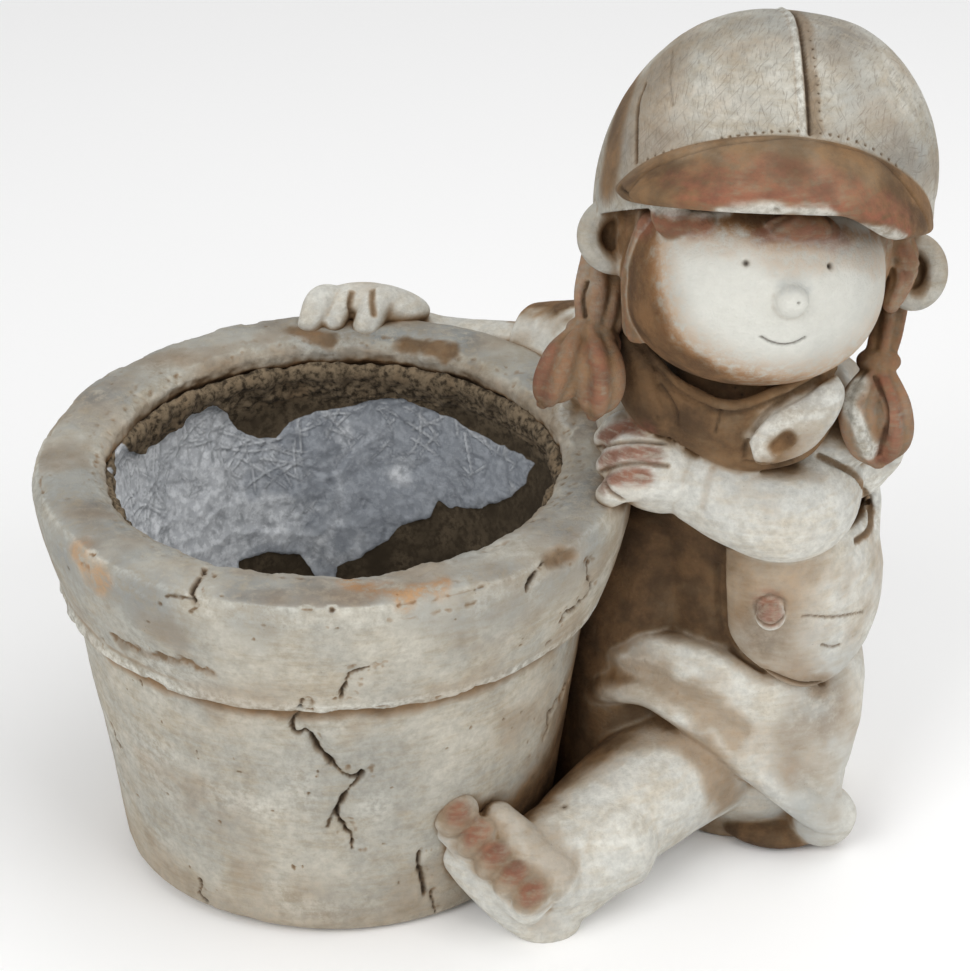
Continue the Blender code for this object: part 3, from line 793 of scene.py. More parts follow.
    def crack(self, skin: Skin) -> None:
        """Cracks with worn lips, the broken band, the knob, and patches of dirt."""
        tool = Chisel(skin)
        cracks = ((self.MAIN_CRACK, 1.5, 2.8, 0.2), (self.BAND_CRACK, 1.4, 2.2, 0.2),
                  (self.RIM_NOTCH, 1.9, 2.4, 0.4), (self.FOOT_CRACK, 1.3, 2.0, 0.1),
                  (self.TOE_CRACK, 1.6, 2.2, 0.4), (self.TOE_CRACK_LOW, 1.4, 1.8, 0.2),
                  (self.LEFT_CRACK, 1.2, 1.4, 0.2), (self.RIGHT_BAND_CRACK, 1.3, 1.8, 0.2),
                  (self.RIM_SLOT, 1.4, 1.6, 0.2), (self.RIGHT_CRACK, 1.6, 2.4, 0.5))
        for k, (spots, width, depth, umber) in enumerate(cracks):
            line = tool.line(spots, 4, k)
            tool.cut(line, width, depth, 1.0, 1.3, k, umber)
            tool.cut(line + (1.2, 0, 0.8), 4.2, 0.9, 0.0, 1.8, k + 20)
        for k, spots in enumerate((self.RIM_HAIRLINE, self.MAIN_BRANCH, self.LOW_BRANCH)):
            tool.cut(tool.line(spots, 3, 30 + k), 1.1, 0.9, 0.6, 1.2, 30 + k)
        tool.cut(tool.line(self.BAND_BREAK, 4, 5), 3.4, 1.6, 0.1, 1.6, 5, 0.35)
        knob = tool.line(self.KNOB)
        tool.cut(knob, 7, -3.2, 0, 0.4, 17)
        tool.stain(Tone.CHALK, knob, 6, 0.9, 0.6, 7, 17)
        tool.cut(tool.line(self.RIM_CHIP, 3, 11), 5.0, 2.4, 0.0, 1.2, 11, 0.7)
        tool.pit(self.PINHOLE, 2.4, 2.2)
        tool.stains(((Tone.UMBER, self.BACK_PATCH, 6, 0.75, 0.9, 8, 18),
                     (Tone.UMBER, self.FAR_PATCH, 7, 0.8, 0.9, 9, 19),
                     (Tone.UMBER, self.RIGHT_STAIN, 11, 0.85, 0.6, 12, 14),
                     (Tone.OCHRE, self.RIM_OCHRE, 7, 0.8, 1.0, 9, 15),
                     (Tone.OCHRE, self.LEFT_OCHRE, 8, 0.7, 1.0, 12, 16)))

    def dress(self, skin: Skin, hidden: Array) -> None:
        """Painted shadow under the band, painted shade by the child, brown in the mouth; damp grey
        on the rim.
        """
        co = skin.co
        r = np.hypot(co[:, 0], co[:, 1])
        wander = noise(co, 26, 31, 4)
        # Painted shade: umber where a point is hidden from most directions, as by the child.
        skin.add(Tone.UMBER, ease(1.5 * (hidden - 0.30) + 0.35 * wander))
        skin.add(Tone.UMBER, ease((self.rim_radius - 28 - r) / 12 + 0.8 * wander)
                 * (co[:, 2] > self.height - 20) * 0.5)
        flat = ease((skin.normals()[:, 2] - 0.7) / 0.25) * (co[:, 2] > self.height - 14)
        skin.add(Tone.UMBER, flat * np.clip(0.16 + 0.5 * wander, 0, 1))
        skin.add(Tone.GREY, flat * np.clip(0.6 + 0.8 * noise(co, 30, 35, 3), 0, 1))
        # Painted shadow: umber under the band's overhang, fading down the wall.
        under = self.height - self.band_height - co[:, 2]
        skin.add(Tone.UMBER, 0.85 * (under > 0) * ease(1.35 - under / 10
                                                       + 0.4 * noise(co, 14, 36, 3)))
        # Painted highlight: a pale line along the band's lower edge.
        skin.add(Tone.CHALK, 0.9 * ease(1.2 - np.abs(under + 3) / 4) * (under < 1))
        skin.add(Tone.UMBER, 0.9 * (r < self.bore(co[:, 2]) + 3) * (co[:, 2] < self.height - 10))
        skin.add(Tone.UMBER, 0.30 * ease(1.2 * noise(co, 40, 32, 4) + 0.25))
        skin.add(Tone.GREY, 0.8 * ease(1.6 * noise(co, 48, 33, 4) + 0.1)
                 * ease((co[:, 2] - self.height + 40) / 30))
        skin.add(Tone.UMBER, 0.3 * ease((70 - co[:, 2]) / 70 + 0.5 * wander))
        skin.add(Tone.CHALK, 0.45 * ease(1.6 * noise(co, 34, 34, 4) - 0.15))
        # Painted shade: umber in creases.
        skin.add(Tone.UMBER, np.clip(skin.hollow(10, 0.5), 0, 0.7))


@dataclass
class Lining:
    """Fibre mat and earthy crust left inside the pot."""
    pot: Pot
    thickness: float = 2.0
    crust: float = 9.0
    top: float = 207
    strands: int = 560
    turns: int = 720
    limit: int = 170000

    MAT: Spots = ((108, 466), (116, 450), (140, 448), (160, 440), (180, 414), (212, 398),
                  (226, 412), (236, 432), (258, 441), (276, 439), (288, 422), (316, 411),
                  (352, 404), (384, 397), (402, 395), (436, 410), (464, 428), (488, 440),
                  (516, 452), (536, 463), (526, 482), (500, 500), (476, 506), (452, 509),
                  (440, 502), (430, 516), (400, 524), (388, 540), (360, 556), (336, 566),
                  (336, 640), (200, 640), (100, 600), (85, 500))
    EARTH_PATCH: Spots = ((236, 560), (268, 549), (300, 556), (312, 575), (236, 575))

    def build(self) -> Skin:
        """Turn a thin closed cup that stands on the pot's hollow."""
        pot, t = self.pot, self.thickness
        z = np.array([pot.floor + 6, pot.height - 30, self.top])
        r = pot.bore(z)
        legs = [
            [(2, pot.floor - 3), (r[0] + 3, pot.floor - 3), (r[1] + 4, z[1]),
             (r[2] + 4, self.top)],
            [(r[2] + 4, self.top), (r[2] - 1, self.top - 2), (r[1] - t, z[1] - 2),
             (r[0] - t, pot.floor + 8)],
            [(r[0] - t, pot.floor + 8), (r[0] - 10, pot.floor + t), (2, pot.floor + t)]]
        return lathe(rounded(legs, (6, 0.95, 3), 1.5), self.turns, pot.rise)

    def carve(self, skin: Skin) -> None:
        """Raise the mat where it lies, roughen the crust over it, and lay the strands."""
        co, pot = skin.co, self.pot
        r = np.hypot(co[:, 0], co[:, 1])
        inner = ease((pot.bore(co[:, 2]) + 0.6 - r) / 1.5) * ease((co[:, 2] - pot.floor) / 6)
        spots = SIGHT.spots(co)
        ragged = 7 * noise(co, 16, 41, 4)
        edge = inside(spots, np.array(self.MAT, float)) + ragged
        edge = np.minimum(edge, -inside(spots, np.array(self.EARTH_PATCH, float)) + ragged)
        far = ease((co[:, 1] + 25) / 30)
        round_edge = (176 + 12 * noise(co, 60, 42, 3) - co[:, 2]) * 1.6 + ragged
        edge = far * edge + (1 - far) * round_edge
        mat = ease(edge / 5 + 0.5) * inner
        earth = (1 - mat) * inner
        ledge = ease((co[:, 2] - 176 - 7 * noise(co, 30, 43, 3)) / 16) * inner
        lump = noise(co, 12, 44, 4)
        fold = (1 - np.abs(noise(co, 26, 45, 3))) ** 4
        skin.height += mat * (0.6 + 1.8 * fold + 0.8 * noise(co, 9, 46, 3))
        skin.height += earth * (0.3 * lump + ledge * (0.55 * self.crust + 4.2 * lump
                                                      + 2.6 * noise(co, 5, 47, 3)))
        skin.tone[:, Tone.GREY.value] = mat
        skin.tone[:, Tone.UMBER.value] = np.clip(ledge + 0.25 + 0.5 * lump, 0, 1)
        skin.tone[:, Tone.OCHRE.value] = earth * ledge * ease(1.8 * noise(co, 18, 48, 4)) * 0.7
        # Pale frosted patches on the mat, with painted light making them paler towards the left.
        skin.add(Tone.CHALK, mat * ease(1.7 * noise(co, 24, 49, 4) + 0.15 - co[:, 0] / 90))
        skin.press()
        self.lay_strands(skin, mat)

    def lay_strands(self, skin: Skin, mat: Array) -> None:
        """Scatter long curved fibres over the mat, some raised and some pressed in, with painted
        highlights and painted shade.

        A strand runs from a random place (a, z) on the wall in a random direction, and its
        direction turns steadily, so it is an arc wound onto the cone.
        """
        rng = np.random.default_rng(12)
        tool = Chisel(skin)
        for k in range(self.strands):
            a, z = rng.uniform(-0.15, math.pi + 0.15), rng.uniform(70, 190)
            heading, bend = rng.uniform(0, 2 * math.pi), rng.normal(0, 0.018)
            length = rng.uniform(14, 80)
            s = np.arange(0, length, 0.9)
            turn = heading + bend * s
            across = np.cumsum(np.cos(turn)) * 0.9
            level = z + np.cumsum(np.sin(turn)) * 0.9
            radius = self.pot.bore(level) - self.thickness - 0.7
            angle = a + across / radius
            line = np.stack([radius * np.cos(angle), radius * np.sin(angle), level], 1)
            line = line[(level > 40) & (level < 196)]
            if len(line) < 8:
                continue
            raised = k % 5 < 3
            near, gap = tool.around(line, 1.6)
            g = np.clip(1 - (gap / 1.0) ** 2, 0, 1) * mat[near]
            skin.height[near] = (skin.height[near] + 0.9 * g if raised
                                 else skin.height[near] - 0.6 * g)
            # Painted shade: a dark ring beside each raised strand and a dark line along each
            # pressed one; raised strands get a painted highlight.
            rim = np.clip(1 - np.abs(gap - 1.15) / 0.55, 0, 1) * mat[near]
            skin.add(Tone.DARK, (0.7 * rim if raised else 0.7 * g), near)
            if raised:
                skin.add(Tone.HATCH, g, near)
        skin.press()

    def dress(self, skin: Skin, hidden: Array) -> None:
        """Painted light that makes the far left paler. The depth 'hidden' isn't used, as the mat
        gets no painted shade by depth.
        """
        left_of, over = -30, 45
        # Painted light on the inner wall's far left.
        skin.add(Tone.CHALK, ease((left_of - skin.co[:, 0]) / over) * 0.8)


# The child

@dataclass
class Body:
    """The child's body: dress, jacket, arms with their hands on the rim, leg and foot."""
    pot: Pot
    voxel: float = 1.15
    limit: int = 195000

    CUFF: Spots = ((819, 456), (840, 466), (858, 479), (869, 505), (869, 529), (856, 541))
    WRIST: Spots = ((712, 470), (706, 490), (702, 508))
    UPPER_FINGER: Spots = ((597, 449), (616, 443), (638, 441), (664, 443))
    LOWER_FINGER: Spots = ((601, 473), (616, 466), (638, 463), (668, 466))
    LAST_FINGER: Spots = ((603, 478), (609, 491), (622, 500))
    BUTTONHOLE: Spots = ((803, 616), (835, 617), (863, 612))
    FLAP_MARK: Spots = ((822, 645), (831, 647), (840, 645))
    BUTTON: Spots = ((770, 595), (784, 601), (785, 616), (772, 626), (757, 619), (756, 603),
                     (770, 595))
    LEG_PIT: Spots = ((564, 806),)
    CHEST_PITS: Spots = ((735, 388), (742, 396), (657, 418))
    # Painted shadow of the skirt's hem on the leg.
    LEG_HEM_SHADOW: Spots = ((600, 735), (640, 722), (700, 750), (728, 800))
    HEM_STAIN: Spots = ((712, 827), (750, 846), (800, 856), (843, 843))
    TOE_TIPS: Spots = ((456, 814), (474, 835), (492, 855), (511, 874), (529, 893))
    FINGERS: tuple[Spots, ...] = (((604, 438), (624, 428), (648, 428)),
                                  ((602, 461), (626, 453), (654, 455)),
                                  ((606, 484), (622, 477), (644, 476)))
    SLEEVE: Spots = ((812, 462), (845, 466), (868, 482), (880, 505), (876, 528))
    INSTEP: Spots = ((505, 806), (535, 835), (560, 870))
    BUTTON_FACE: Spots = ((768, 606), (773, 614))
    NECKLINE: Spots = ((656, 367), (675, 389), (698, 403), (720, 412), (746, 411), (773, 401),
                       (803, 389), (822, 379))
    NECK: Spots = ((690, 376), (730, 390), (775, 384), (815, 366))
    SLIT: Spots = ((720, 412), (718, 422), (715, 432))
    WING: Spots = ((660, 384), (674, 407), (677, 424))
    LAPEL: Spots = ((822, 398), (800, 412), (778, 425), (760, 446))
    LAPEL_EDGE: Spots = ((822, 376), (796, 392), (768, 412), (748, 440), (745, 458))
    LAPEL_FOOT: Spots = ((745, 462), (768, 464), (790, 462))
    CURL: Spots = ((778, 446), (784, 441), (788, 438))
    FLAP_EDGE: Spots = ((719, 566), (719, 600), (725, 636), (744, 658), (775, 675),
                        (800, 684), (824, 683))
    LAP_FOLD: Spots = ((610, 676), (640, 670), (668, 686), (700, 704), (735, 730))
    KNUCKLES: tuple[Spots, ...] = (((352, 292), (350, 304), (352, 314)),
                                   ((372, 290), (372, 303), (374, 314)))
    SLEEVE_BUMP: Spots = ((508, 312), (530, 304), (562, 304))

    def torso(self, clay: Clay) -> None:
        """Chest, neck and the mass that joins the child to the pot."""
        kind = Region.DRESS
        clay.limb([(216, 22, 26), (215, 20, 60), (211, 16, 110), (209, 10, 160), (207, 6, 205),
                   (206, 4, 240), (206, 2, 262)],
                  ((54, 54), (57, 58), (56, 53), (54, 47), (53, 43), (47, 38), (36, 32)), kind,
                  side=(1, 0, 0), cap=(0.5, 0.6), nu=60)
        clay.limb([(144, 14, 8), (148, 15, 60), (153, 14, 120), (164, 10, 182)],
                  ((36, 46), (36, 46), (33, 42), (26, 32)), kind, side=(1, 0, 0),
                  cap=(0.3, 0.6))
        clay.limb([(202, -4, 250), (202, -8, 300)], (45, 42), Region.SHIRT, side=(1, 0, 0),
                  cap=(0.3, 0.3))
        clay.limb([(203, 28, 262), (205, 30, 300), (207, 34, 330)],
                  ((46, 26), (47, 31), (50, 36)), Region.HAIR, side=(1, 0, 0), cap=(0.8, 0.3),
                  nu=96, locks=(18, 0.09, 0.8))
        clay.ball((164, 12, 236), (34, 40, 34), Region.JACKET)
        clay.ball((240, 14, 232), (32, 38, 34), Region.JACKET)

    def collar(self, clay: Clay) -> None:
        """Shirt collar and jacket lapels, each a small draped flap."""
        about = (206, 30, 250)
        neckline = [(149, -30, 296), (156, -40, 290), (165, -50, 284), (176, -56, 280),
                    (186, -60, 277), (198, -61, 278), (211, -58, 282), (226, -52, 285),
                    (240, -42, 288)]
        edges = (
            (neckline, [(148, -30, 262), (164, -46, 254), (186, -53, 243), (205, -55, 240),
                        (230, -52, 246), (246, -38, 264)], 7, 3, Region.SHIRT),
            ([(138, -8, 302), (144, -28, 298), (155, -43, 291)],
             [(144, -20, 258), (154, -42, 255), (168, -53, 256)], 9, 5, Region.SHIRT),
            ([(242, -48, 287), (226, -57, 279), (210, -63, 273), (200, -66, 262)],
             [(243, -46, 277), (237, -56, 266), (227, -62, 256), (203, -65, 249)], 10, 5,
             Region.JACKET))
        clay.limb(neckline, (3.2,) * 9, Region.SHIRT, count=90)
        for top, bottom, thick, bulge, kind in edges:
            clay.drape(top, bottom, thick, bulge, about, kind, nu=60, nv=20)

    def jacket(self, clay: Clay) -> None:
        """Open jacket: the rounded front flap, the back and its button."""
        clay.drape([(193, -44, 190), (213, -50, 194), (237, -46, 194), (256, -26, 190),
                    (266, 4, 185), (261, 40, 180)],
                   [(198, -40, 144), (210, -44, 126), (233, -44, 109), (254, -34, 114),
                    (268, -8, 126), (266, 34, 116)],
                   lambda u, v: 10 + 4 * v, 5, (208, 14, 150), Region.JACKET, power=7)
        clay.drape([(258, 6, 252), (244, 38, 256), (208, 50, 258), (168, 42, 256),
                    (150, 16, 248)],
                   [(272, -2, 122), (260, 50, 114), (213, 72, 108), (158, 62, 112),
                    (140, 34, 116)],
                   lambda u, v: 10 + 3 * v, 9, (208, 14, 180), Region.JACKET, power=8)
        clay.ball((215.5, -61, 159.5), (7.5, 6, 7.0), Region.TOUCHED, turn=(-15, 0, 0))

    def arms(self, clay: Clay) -> None:
        """Near arm with its hand on the rim; far arm reaching round to the back rim."""
        clay.limb([(182, -44, 225), (200, -48, 217), (218, -48, 212), (231, -39, 212),
                   (236, -22, 217), (238, -4, 226)], (21, 23, 25, 26, 26, 25), Region.SKIN)
        clay.ball((160, -36, 231), (29, 24, 23), Region.SKIN, turn=(0, 14, 0))
        for y, z, r in ((-27, 245, 9.5), (-41, 238, 8.5), (-51.5, 227.5, 9)):
            clay.limb([(170, y, z + 1), (155, y - 1, z + 3), (142, y, z + 1), (135, y + 1, z - 5)],
                      (r, r, r * 0.95, r * 0.75), Region.TOUCHED, count=30, nu=28)
        clay.limb([(228, 4, 246), (234, -6, 237), (238, -16, 229)],
                  ((32, 28), (32, 29), (31, 29)), Region.JACKET, side=(1, 0, 0), cap=(1, 0.2))
        clay.ball((254, -4, 226), (27, 24, 31), Region.JACKET)
        clay.ball((244, -22, 243), (27, 22, 19), Region.JACKET)
        c = np.array([246, -19, 225.0])
        t = unit(np.array([0.1, -0.8, -0.5]))
        s = unit(np.cross(t, (0, 0, 1)))
        w = np.cross(t, s)
        k = np.linspace(0, 2 * math.pi, 17)[:, None]
        clay.limb(c + s * 30.5 * np.cos(k) + w * 29 * np.sin(k), (5.6,) * 17, Region.JACKET,
                  side=tuple(t), count=96)
        clay.limb([(170, 34, 234), (154, 76, 226), (130, 112, 216), (104, 132, 208)],
                  ((32, 29), (32, 29), (29, 27), (26, 25)), Region.JACKET, cap=(1, 0.3))
        clay.limb([(122, 120, 208), (86, 139, 202), (50, 152, 201), (24, 154, 212)],
                  (20, 18, 16, 14), Region.SKIN)
        clay.ball((16, 150, 226), (30, 15, 11), Region.SKIN, turn=(0, 8, 0))
        for x, z, r in ((-15, 229, 9), (-2, 229, 7), (15, 227, 10)):
            clay.limb([(x + 10, 152, z - 2), (x + 2, 143, z + 2), (x - 4, 131, z - 5)],
                      (r, r, r * 0.75), Region.SKIN, count=24, nu=24)

    def skirt(self, clay: Clay) -> None:
        """Dress spread over the lap with a rolled hem, and the seat under it."""
        waist = [(148, 4, 116), (162, -16, 121), (187, -27, 121), (216, -32, 115),
                 (242, -26, 108), (260, -6, 108), (268, 24, 108)]
        hem = [(133, -14, 84), (143, -27, 96), (160, -35, 98), (180, -40, 86), (201, -42, 68),
               (227, -44, 46), (247, -45, 31), (257, -38, 24)]

        def swell(u: Array, v: Array) -> Array:
            """Lift of the cloth over the thigh, 11 sin(1.3 pi v), with slow folds."""
            return (11 * np.sin(math.pi * np.clip(v * 1.3, 0, 1)) * (1 - 0.2 * u)
                    + 2 * np.sin(u * 13 + 1) * v)
        clay.drape(waist, hem, lambda u, v: 11 + 4 * v, swell, (208, 20, 30), Region.SKIRT,
                   nu=110, nv=30)
        clay.limb(hem, (8, 9, 9, 9, 9, 9, 10, 12), Region.SKIRT, count=80, nu=28)
        clay.ball((252, -34, 20), (17, 14, 18), Region.SKIRT)
        clay.ball((134, -44, 22), (20, 24, 24), Region.DRESS)
        clay.ball((218, 6, 46), (46, 46, 56), Region.SKIRT)
        clay.ball((184, 0, 66), (42, 32, 42), Region.SKIRT)
        clay.ball((230, -6, 8), (36, 38, 12), Region.DRESS)
        clay.limb([(212, 30, 4), (213, 28, 40), (212, 22, 100)], ((58, 58), (58, 57), (55, 50)),
                  Region.SKIRT, side=(1, 0, 0), cap=(0.1, 0.3), nu=60)

    def leg(self, clay: Clay) -> None:
        """Bare leg out to the pot's base, and the foot standing on its heel."""
        clay.limb([(198, -6, 48), (174, -27, 46), (149, -52, 42), (126, -74, 36)],
                  (35, 34, 32, 29), Region.SKIN)
        a, b = np.array([24, -19, -14.0]), np.array([-20, -4, 26.0])
        n = unit(np.cross(a, b))
        n = n if n[2] > 0 else -n
        clay.ball((87, -97, 28), kind=Region.SKIN, axes=[a * 0.92, b, n * 21], power=2.6)
        clay.ball((104, -86, 22), (24, 23, 22), Region.SKIN)
        clay.ball((91, -95, 22), (21, 19, 23), Region.SKIN)
        clay.limb([(126, -76, 34), (110, -88, 36), (94, -98, 34)], (28, 25, 20), Region.SKIN)
        toes = path([(61, -103, 70), (71, -105, 58), (80, -110, 48), (89, -116, 41),
                     (99, -121, 34)], 5)
        row = unit(a)
        out = unit(np.cross(n, row))
        clay.limb(toes + 7 * out, (9, 8.5, 8.5, 8.5, 9), Region.SKIN, count=60)
        clay.limb(toes + 9 * out - 6 * n, (9,) * 5, Region.SKIN, count=60)
        clay.limb(toes[1:] + 14 * n + 7 * out, (9, 12, 13, 13), Region.SKIN, count=60)
        clay.limb([(112, -104, 30), (124, -92, 32), (136, -80, 36)], (15, 22, 27), Region.SKIN)
        clay.limb([(98, -101, 18), (114, -93, 19), (130, -82, 26)], (18, 20, 21), Region.SKIN)
        for p, r in zip(toes, (9.4, 7.6, 7.6, 7.6, 8.4)):
            clay.ball(p, kind=Region.SKIN, axes=[row * r, n * 12, out * 10], power=2.2)

    def build(self) -> Skin:
        """Fuse every shell, and keep what would stand in the pot's hollow in its wall."""
        clay = Clay()
        for shape in (self.torso, self.collar, self.jacket, self.arms, self.skirt, self.leg):
            shape(clay)
        skin = fuse(clay, self.voxel, 3, floor=0)
        co, pot = skin.co, self.pot
        r = np.hypot(co[:, 0], co[:, 1])
        keep = pot.bore(co[:, 2]) + 5
        tuck = (r < keep) & (co[:, 2] < pot.height - 3)
        co[tuck, :2] *= (keep[tuck] / np.maximum(r[tuck], 1))[:, None]
        return skin

    def carve(self, skin: Skin) -> None:
        """Creases, grooves, stitches and the casting's unevenness."""
        co = skin.co.copy()
        skin.height += 0.5 * noise(co, 26, 51, 3) + 0.14 * noise(co, 5, 52, 2)
        skin.press()
        tool = Chisel(skin)
        tool.cuts((
            (self.CUFF, 2.2, 2.2, 0.5, 0.2, 1, 0.7), (self.WRIST, 3.0, 0.9, 0.0, 0.2, 2, 0.2),
            (self.UPPER_FINGER, 1.6, 1.6, 0.5, 0.2, 3, 0.5),
            (self.LOWER_FINGER, 1.6, 1.6, 0.5, 0.2, 4, 0.5),
            (self.LAST_FINGER, 1.6, 1.6, 0.5, 0.2, 5, 0.5),
            (self.BUTTON, 1.5, 1.2, 0.4, 0.2, 6, 0.6),
            (self.BUTTONHOLE, 1.25, 1.2, 0.45, 0.2, 7, 0.3),
            (self.FLAP_MARK, 1.3, 1.0, 0.45, 0.2, 8, 0.3),
            # The flap edge's dark and umber are painted shadow between the flap and the dress.
            (self.FLAP_EDGE, 2.6, 1.6, 0.5, 0.3, 9, 0.9),
            (self.NECKLINE, 1.8, 1.8, 0.6, 0.2, 10, 0.9), (self.SLIT, 1.4, 1.4, 0.6, 0.2, 11, 0.6),
            (self.WING, 1.8, 1.8, 0.7, 0.2, 12, 0.9),
            (self.LAPEL_EDGE, 2.0, 2.0, 0.6, 0.3, 13, 0.9),
            (self.LAPEL_FOOT, 2.0, 1.6, 0.5, 0.3, 14, 0.9),
            (self.LAP_FOLD, 8.0, 1.4, 0.0, 0.2, 15),
            (self.KNUCKLES[0], 2.2, 1.6, 0.25, 0.2, 16, 0.8),
            (self.KNUCKLES[1], 2.2, 1.6, 0.25, 0.2, 17, 0.8),
            (self.CURL, 4.6, 3.6, 0.2, 0.2, 18, 1.0)))
        tool.pit(self.LEG_PIT, 2.0, 1.4)
        tool.pit(self.CHEST_PITS, 1.6, 1.2)
        # Umber under the hem on the leg is painted shadow.
        tool.stains(((Tone.UMBER, self.LEG_HEM_SHADOW, 12, 0.6, 0.5, 10, 1),
                     (Tone.UMBER, self.HEM_STAIN, 12, 0.7, 0.4, 12, 2),
                     # Painted shadow beside the flap's edge.
                     (Tone.UMBER, self.FLAP_EDGE, 9, 0.6, 0.6, 8, 9),
                     (Tone.UMBER, self.SLEEVE_BUMP, 17, 1.0, 0.7, 9, 11),
                     (Tone.OCHRE, self.NECK, 9, 0.9, 0.5, 9, 10)))
        skin.press()

    def dress(self, skin: Skin, hidden: Array) -> None:
        """Brown washes by region, painted shade in every hollow and hidden place, terracotta where
        fingers show.
        """
        co = skin.co
        wander = noise(co, 22, 61, 4)
        # Painted shade: umber where a point is hidden from most directions and in small creases.
        skin.add(Tone.UMBER, ease(1.7 * (hidden - 0.36) + 0.3 * wander))
        skin.add(Tone.UMBER, np.clip(skin.hollow(12, 0.8), 0, 1) * 0.6)
        for kind, base, swing in ((Region.DRESS, 1.0, 0.3), (Region.SHIRT, 1.0, 0.3),
                                  (Region.HAIR, 0.8, 0.2)):
            skin.add(Tone.UMBER, skin.weight(kind) * (base + swing * wander))
        skin.add(Tone.DARK, skin.weight(Region.DRESS) * (0.30 + 0.2 * wander))
        # Painted shade on the shirt under the chin, in broken patches.
        skin.add(Tone.DARK, skin.weight(Region.SHIRT) * np.clip(0.2 + 0.5 * wander, 0, 1))
        # Painted shade: broad umber about wide hollows.
        skin.add(Tone.UMBER, ease(1.1 * skin.hollow(60, 2.6)) * 0.9)
        flap = skin.weight(Region.JACKET) * ease((262 - co[:, 0]) / 60) * (co[:, 1] < -20)
        skin.add(Tone.UMBER, flap * np.clip(0.66 + 0.6 * wander, 0, 1))
        for kinds, base, swing in (((Region.JACKET,), 0.14, 0.6), ((Region.SKIRT,), 0.14, 0.5),
                                   ((Region.SKIN, Region.TOUCHED), 0.04, 0.3)):
            skin.add(Tone.UMBER, skin.weight(*kinds) * np.clip(base + swing * wander, 0, 1))
        skin.add(Tone.GREY, skin.weight(Region.SKIRT, Region.JACKET)
                 * ease(1.4 * noise(co, 50, 62, 3)) * 0.6)
        skin.add(Tone.CHALK, np.clip(-skin.hollow(12, 0.8), 0, 1) * 0.9)
        tool = Chisel(skin)
        for k, line in enumerate(self.FINGERS):
            tool.stain(Tone.CLAY, tool.line(line), 5.2, 1.0, 0.4, 5, k)
            tool.stain(Tone.UMBER, tool.line(line), 4.2, 0.4, 0.6, 5, k)
        for k, spot in enumerate(self.TOE_TIPS):
            tool.stain(Tone.CLAY, tool.line((spot, (spot[0] + 5, spot[1] - 3))), 6.6, 1.0,
                       0.4, 5, 10 + k)
        tool.stains(((Tone.CLAY, self.BUTTON_FACE, 8.5, 0.95, 0.1, 6, 4),
                     (Tone.UMBER, self.BUTTON_FACE, 8.5, 0.5, 0.3, 6, 4),
                     (Tone.UMBER, self.TOE_TIPS, 17, 0.65, 0.6, 9, 20),
                     (Tone.UMBER, self.TOE_TIPS, 8, 0.7, 0.4, 6, 22),
                     # Painted shade in the lap's fold.
                     (Tone.UMBER, self.LAP_FOLD, 14, 0.5, 0.6, 9, 12),
                     (Tone.UMBER, self.LAPEL_EDGE, 5, 0.8, 0.3, 6, 13),
                     (Tone.UMBER, self.INSTEP, 15, 0.36, 0.9, 9, 21)))
        tool.wipe(tool.line(self.LAPEL), 9, 0.8, 0.6, 9, 5)
        tool.wipe(tool.line(self.SLEEVE), 8, 0.8, 0.4, 9, 7)
        tool.stains(((Tone.UMBER, self.CUFF, 2.6, 0.8, 0.3, 6, 8),
                     (Tone.UMBER, self.CURL, 6.5, 1.0, 0.3, 5, 6)))


